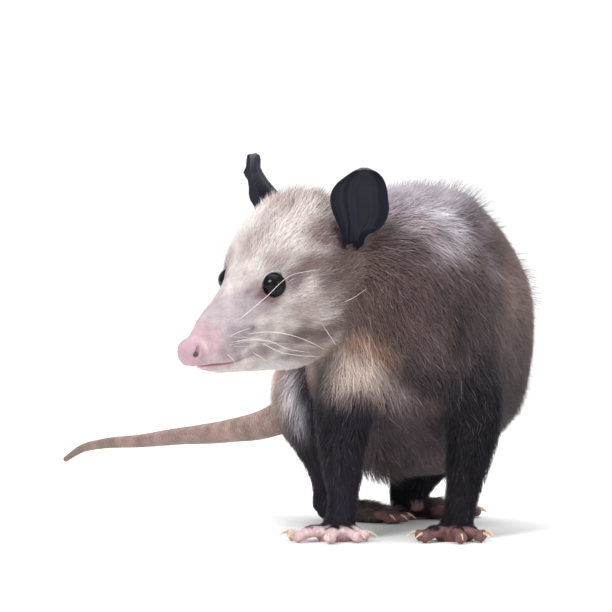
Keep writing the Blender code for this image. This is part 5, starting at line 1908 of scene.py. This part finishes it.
def whisker_lines(tree):
    """The whiskers' lines with their thickness and colour."""
    draw = np.random.default_rng(WHISKER_SEED)
    lines = []
    for pixels, stand in WHISKERS:
        line = whisker_line(pixels, stand, tree)
        other = other_side(line)
        moved = np.array(tree.find_nearest(other[0])[0]) - other[0]
        lines += [(line, WHISKER_THICK, WHISKER_TONE), (other + moved, WHISKER_THICK, WHISKER_TONE)]
    for side in SIDES:
        for k in range(BRISTLES):
            line = bristle(tree, (draw.uniform(78, 98), side * 14, draw.uniform(-18, -8)),
                           (-0.35 - 0.05 * k, side * draw.uniform(0.7, 1.0), draw.uniform(-0.5, 0.15)),
                           (-1, side * 0.25, -0.2), draw.uniform(16, 30), 0.8, 16)
            lines.append((line, BRISTLE_THICK, WHISKER_TONE))
        for k in range(BROW_HAIRS):
            line = bristle(tree, (60 - 5 * k, side * 14, 14), (-0.1, side * 0.5, 0.9), (-1, side * 0.1, 0.3),
                           20, 0.9, 14)
            lines.append((line, BROW_THICK, BROW_TONE))
    return lines


def build_whiskers(tree, material):
    """The whiskers of the picture and their mirrored likes, with finer bristles and hairs over the eyes."""
    verts, faces, colours = [], [], []
    sides = 6
    turn = circle(sides)
    for line, thick, tone in whisker_lines(tree):
        along = unit(np.gradient(line, axis=0))
        across = unit(np.cross(along, (0.1, 0.2, 1.0)))
        up = np.cross(across, along)
        faces += capped(len(verts), sides, len(line))
        for share, point, a, u in zip(np.linspace(0, 1, len(line)), line, across, up):
            verts += list(point + thick * MM * (1.05 - 0.8 * share) * spokes(turn, a, u))
            colours += [srgb(*tone) * (0.8 + 0.25 * share)] * sides
    return dress(piece("whiskers", verts, faces, np.array(colours), (material,)), "pale_fur")


def build_surface(skin, hair):
    """The piece of the skin, with the tail's scales in its mesh."""
    centres = np.array([skin.points[list(f)].mean(0) for f in skin.faces])
    bare = ((bareness(centres) > 0.5) | (forward_of(centres) > NOSE_START)).astype(int)
    tail_verts, tail_faces, tail_colours = tail_scales()
    first = len(skin.points)
    verts = np.concatenate([skin.points, tail_verts])
    faces = skin.faces + [tuple(i + first for i in f) for f in tail_faces]
    colours = np.concatenate([skin_colours(skin.points, hair), tail_colours])
    kinds = np.concatenate([bare, np.full(len(tail_faces), 2)])
    materials = fur_skin_material(), bare_skin_material(), tail_material()
    dress(piece("skin", verts, faces, colours, materials, kinds), "pale_fur", *FLESH)


def main():
    skin = build_skin()
    part, along, around = places(skin.points)
    shares = skin.relaxed(np.eye(len(PARTS))[part], 36, 0.7)
    hair = skin.relaxed(painted(skin, shares), 3, 0.6)
    build_surface(skin, hair)
    tree = skin.tree()
    build_coat(skin, hair, part, shares, along, around)
    ear_skin, wet, lid, horn = ear_material(), eye_material(), lid_material(), claw_material()
    for side in SIDES:
        build_ear(side, ear_skin)
        build_eye(side, wet)
        build_lid(side, tree, lid)
    build_claws(horn)
    build_whiskers(tree, whisker_material())
    studio()


main()
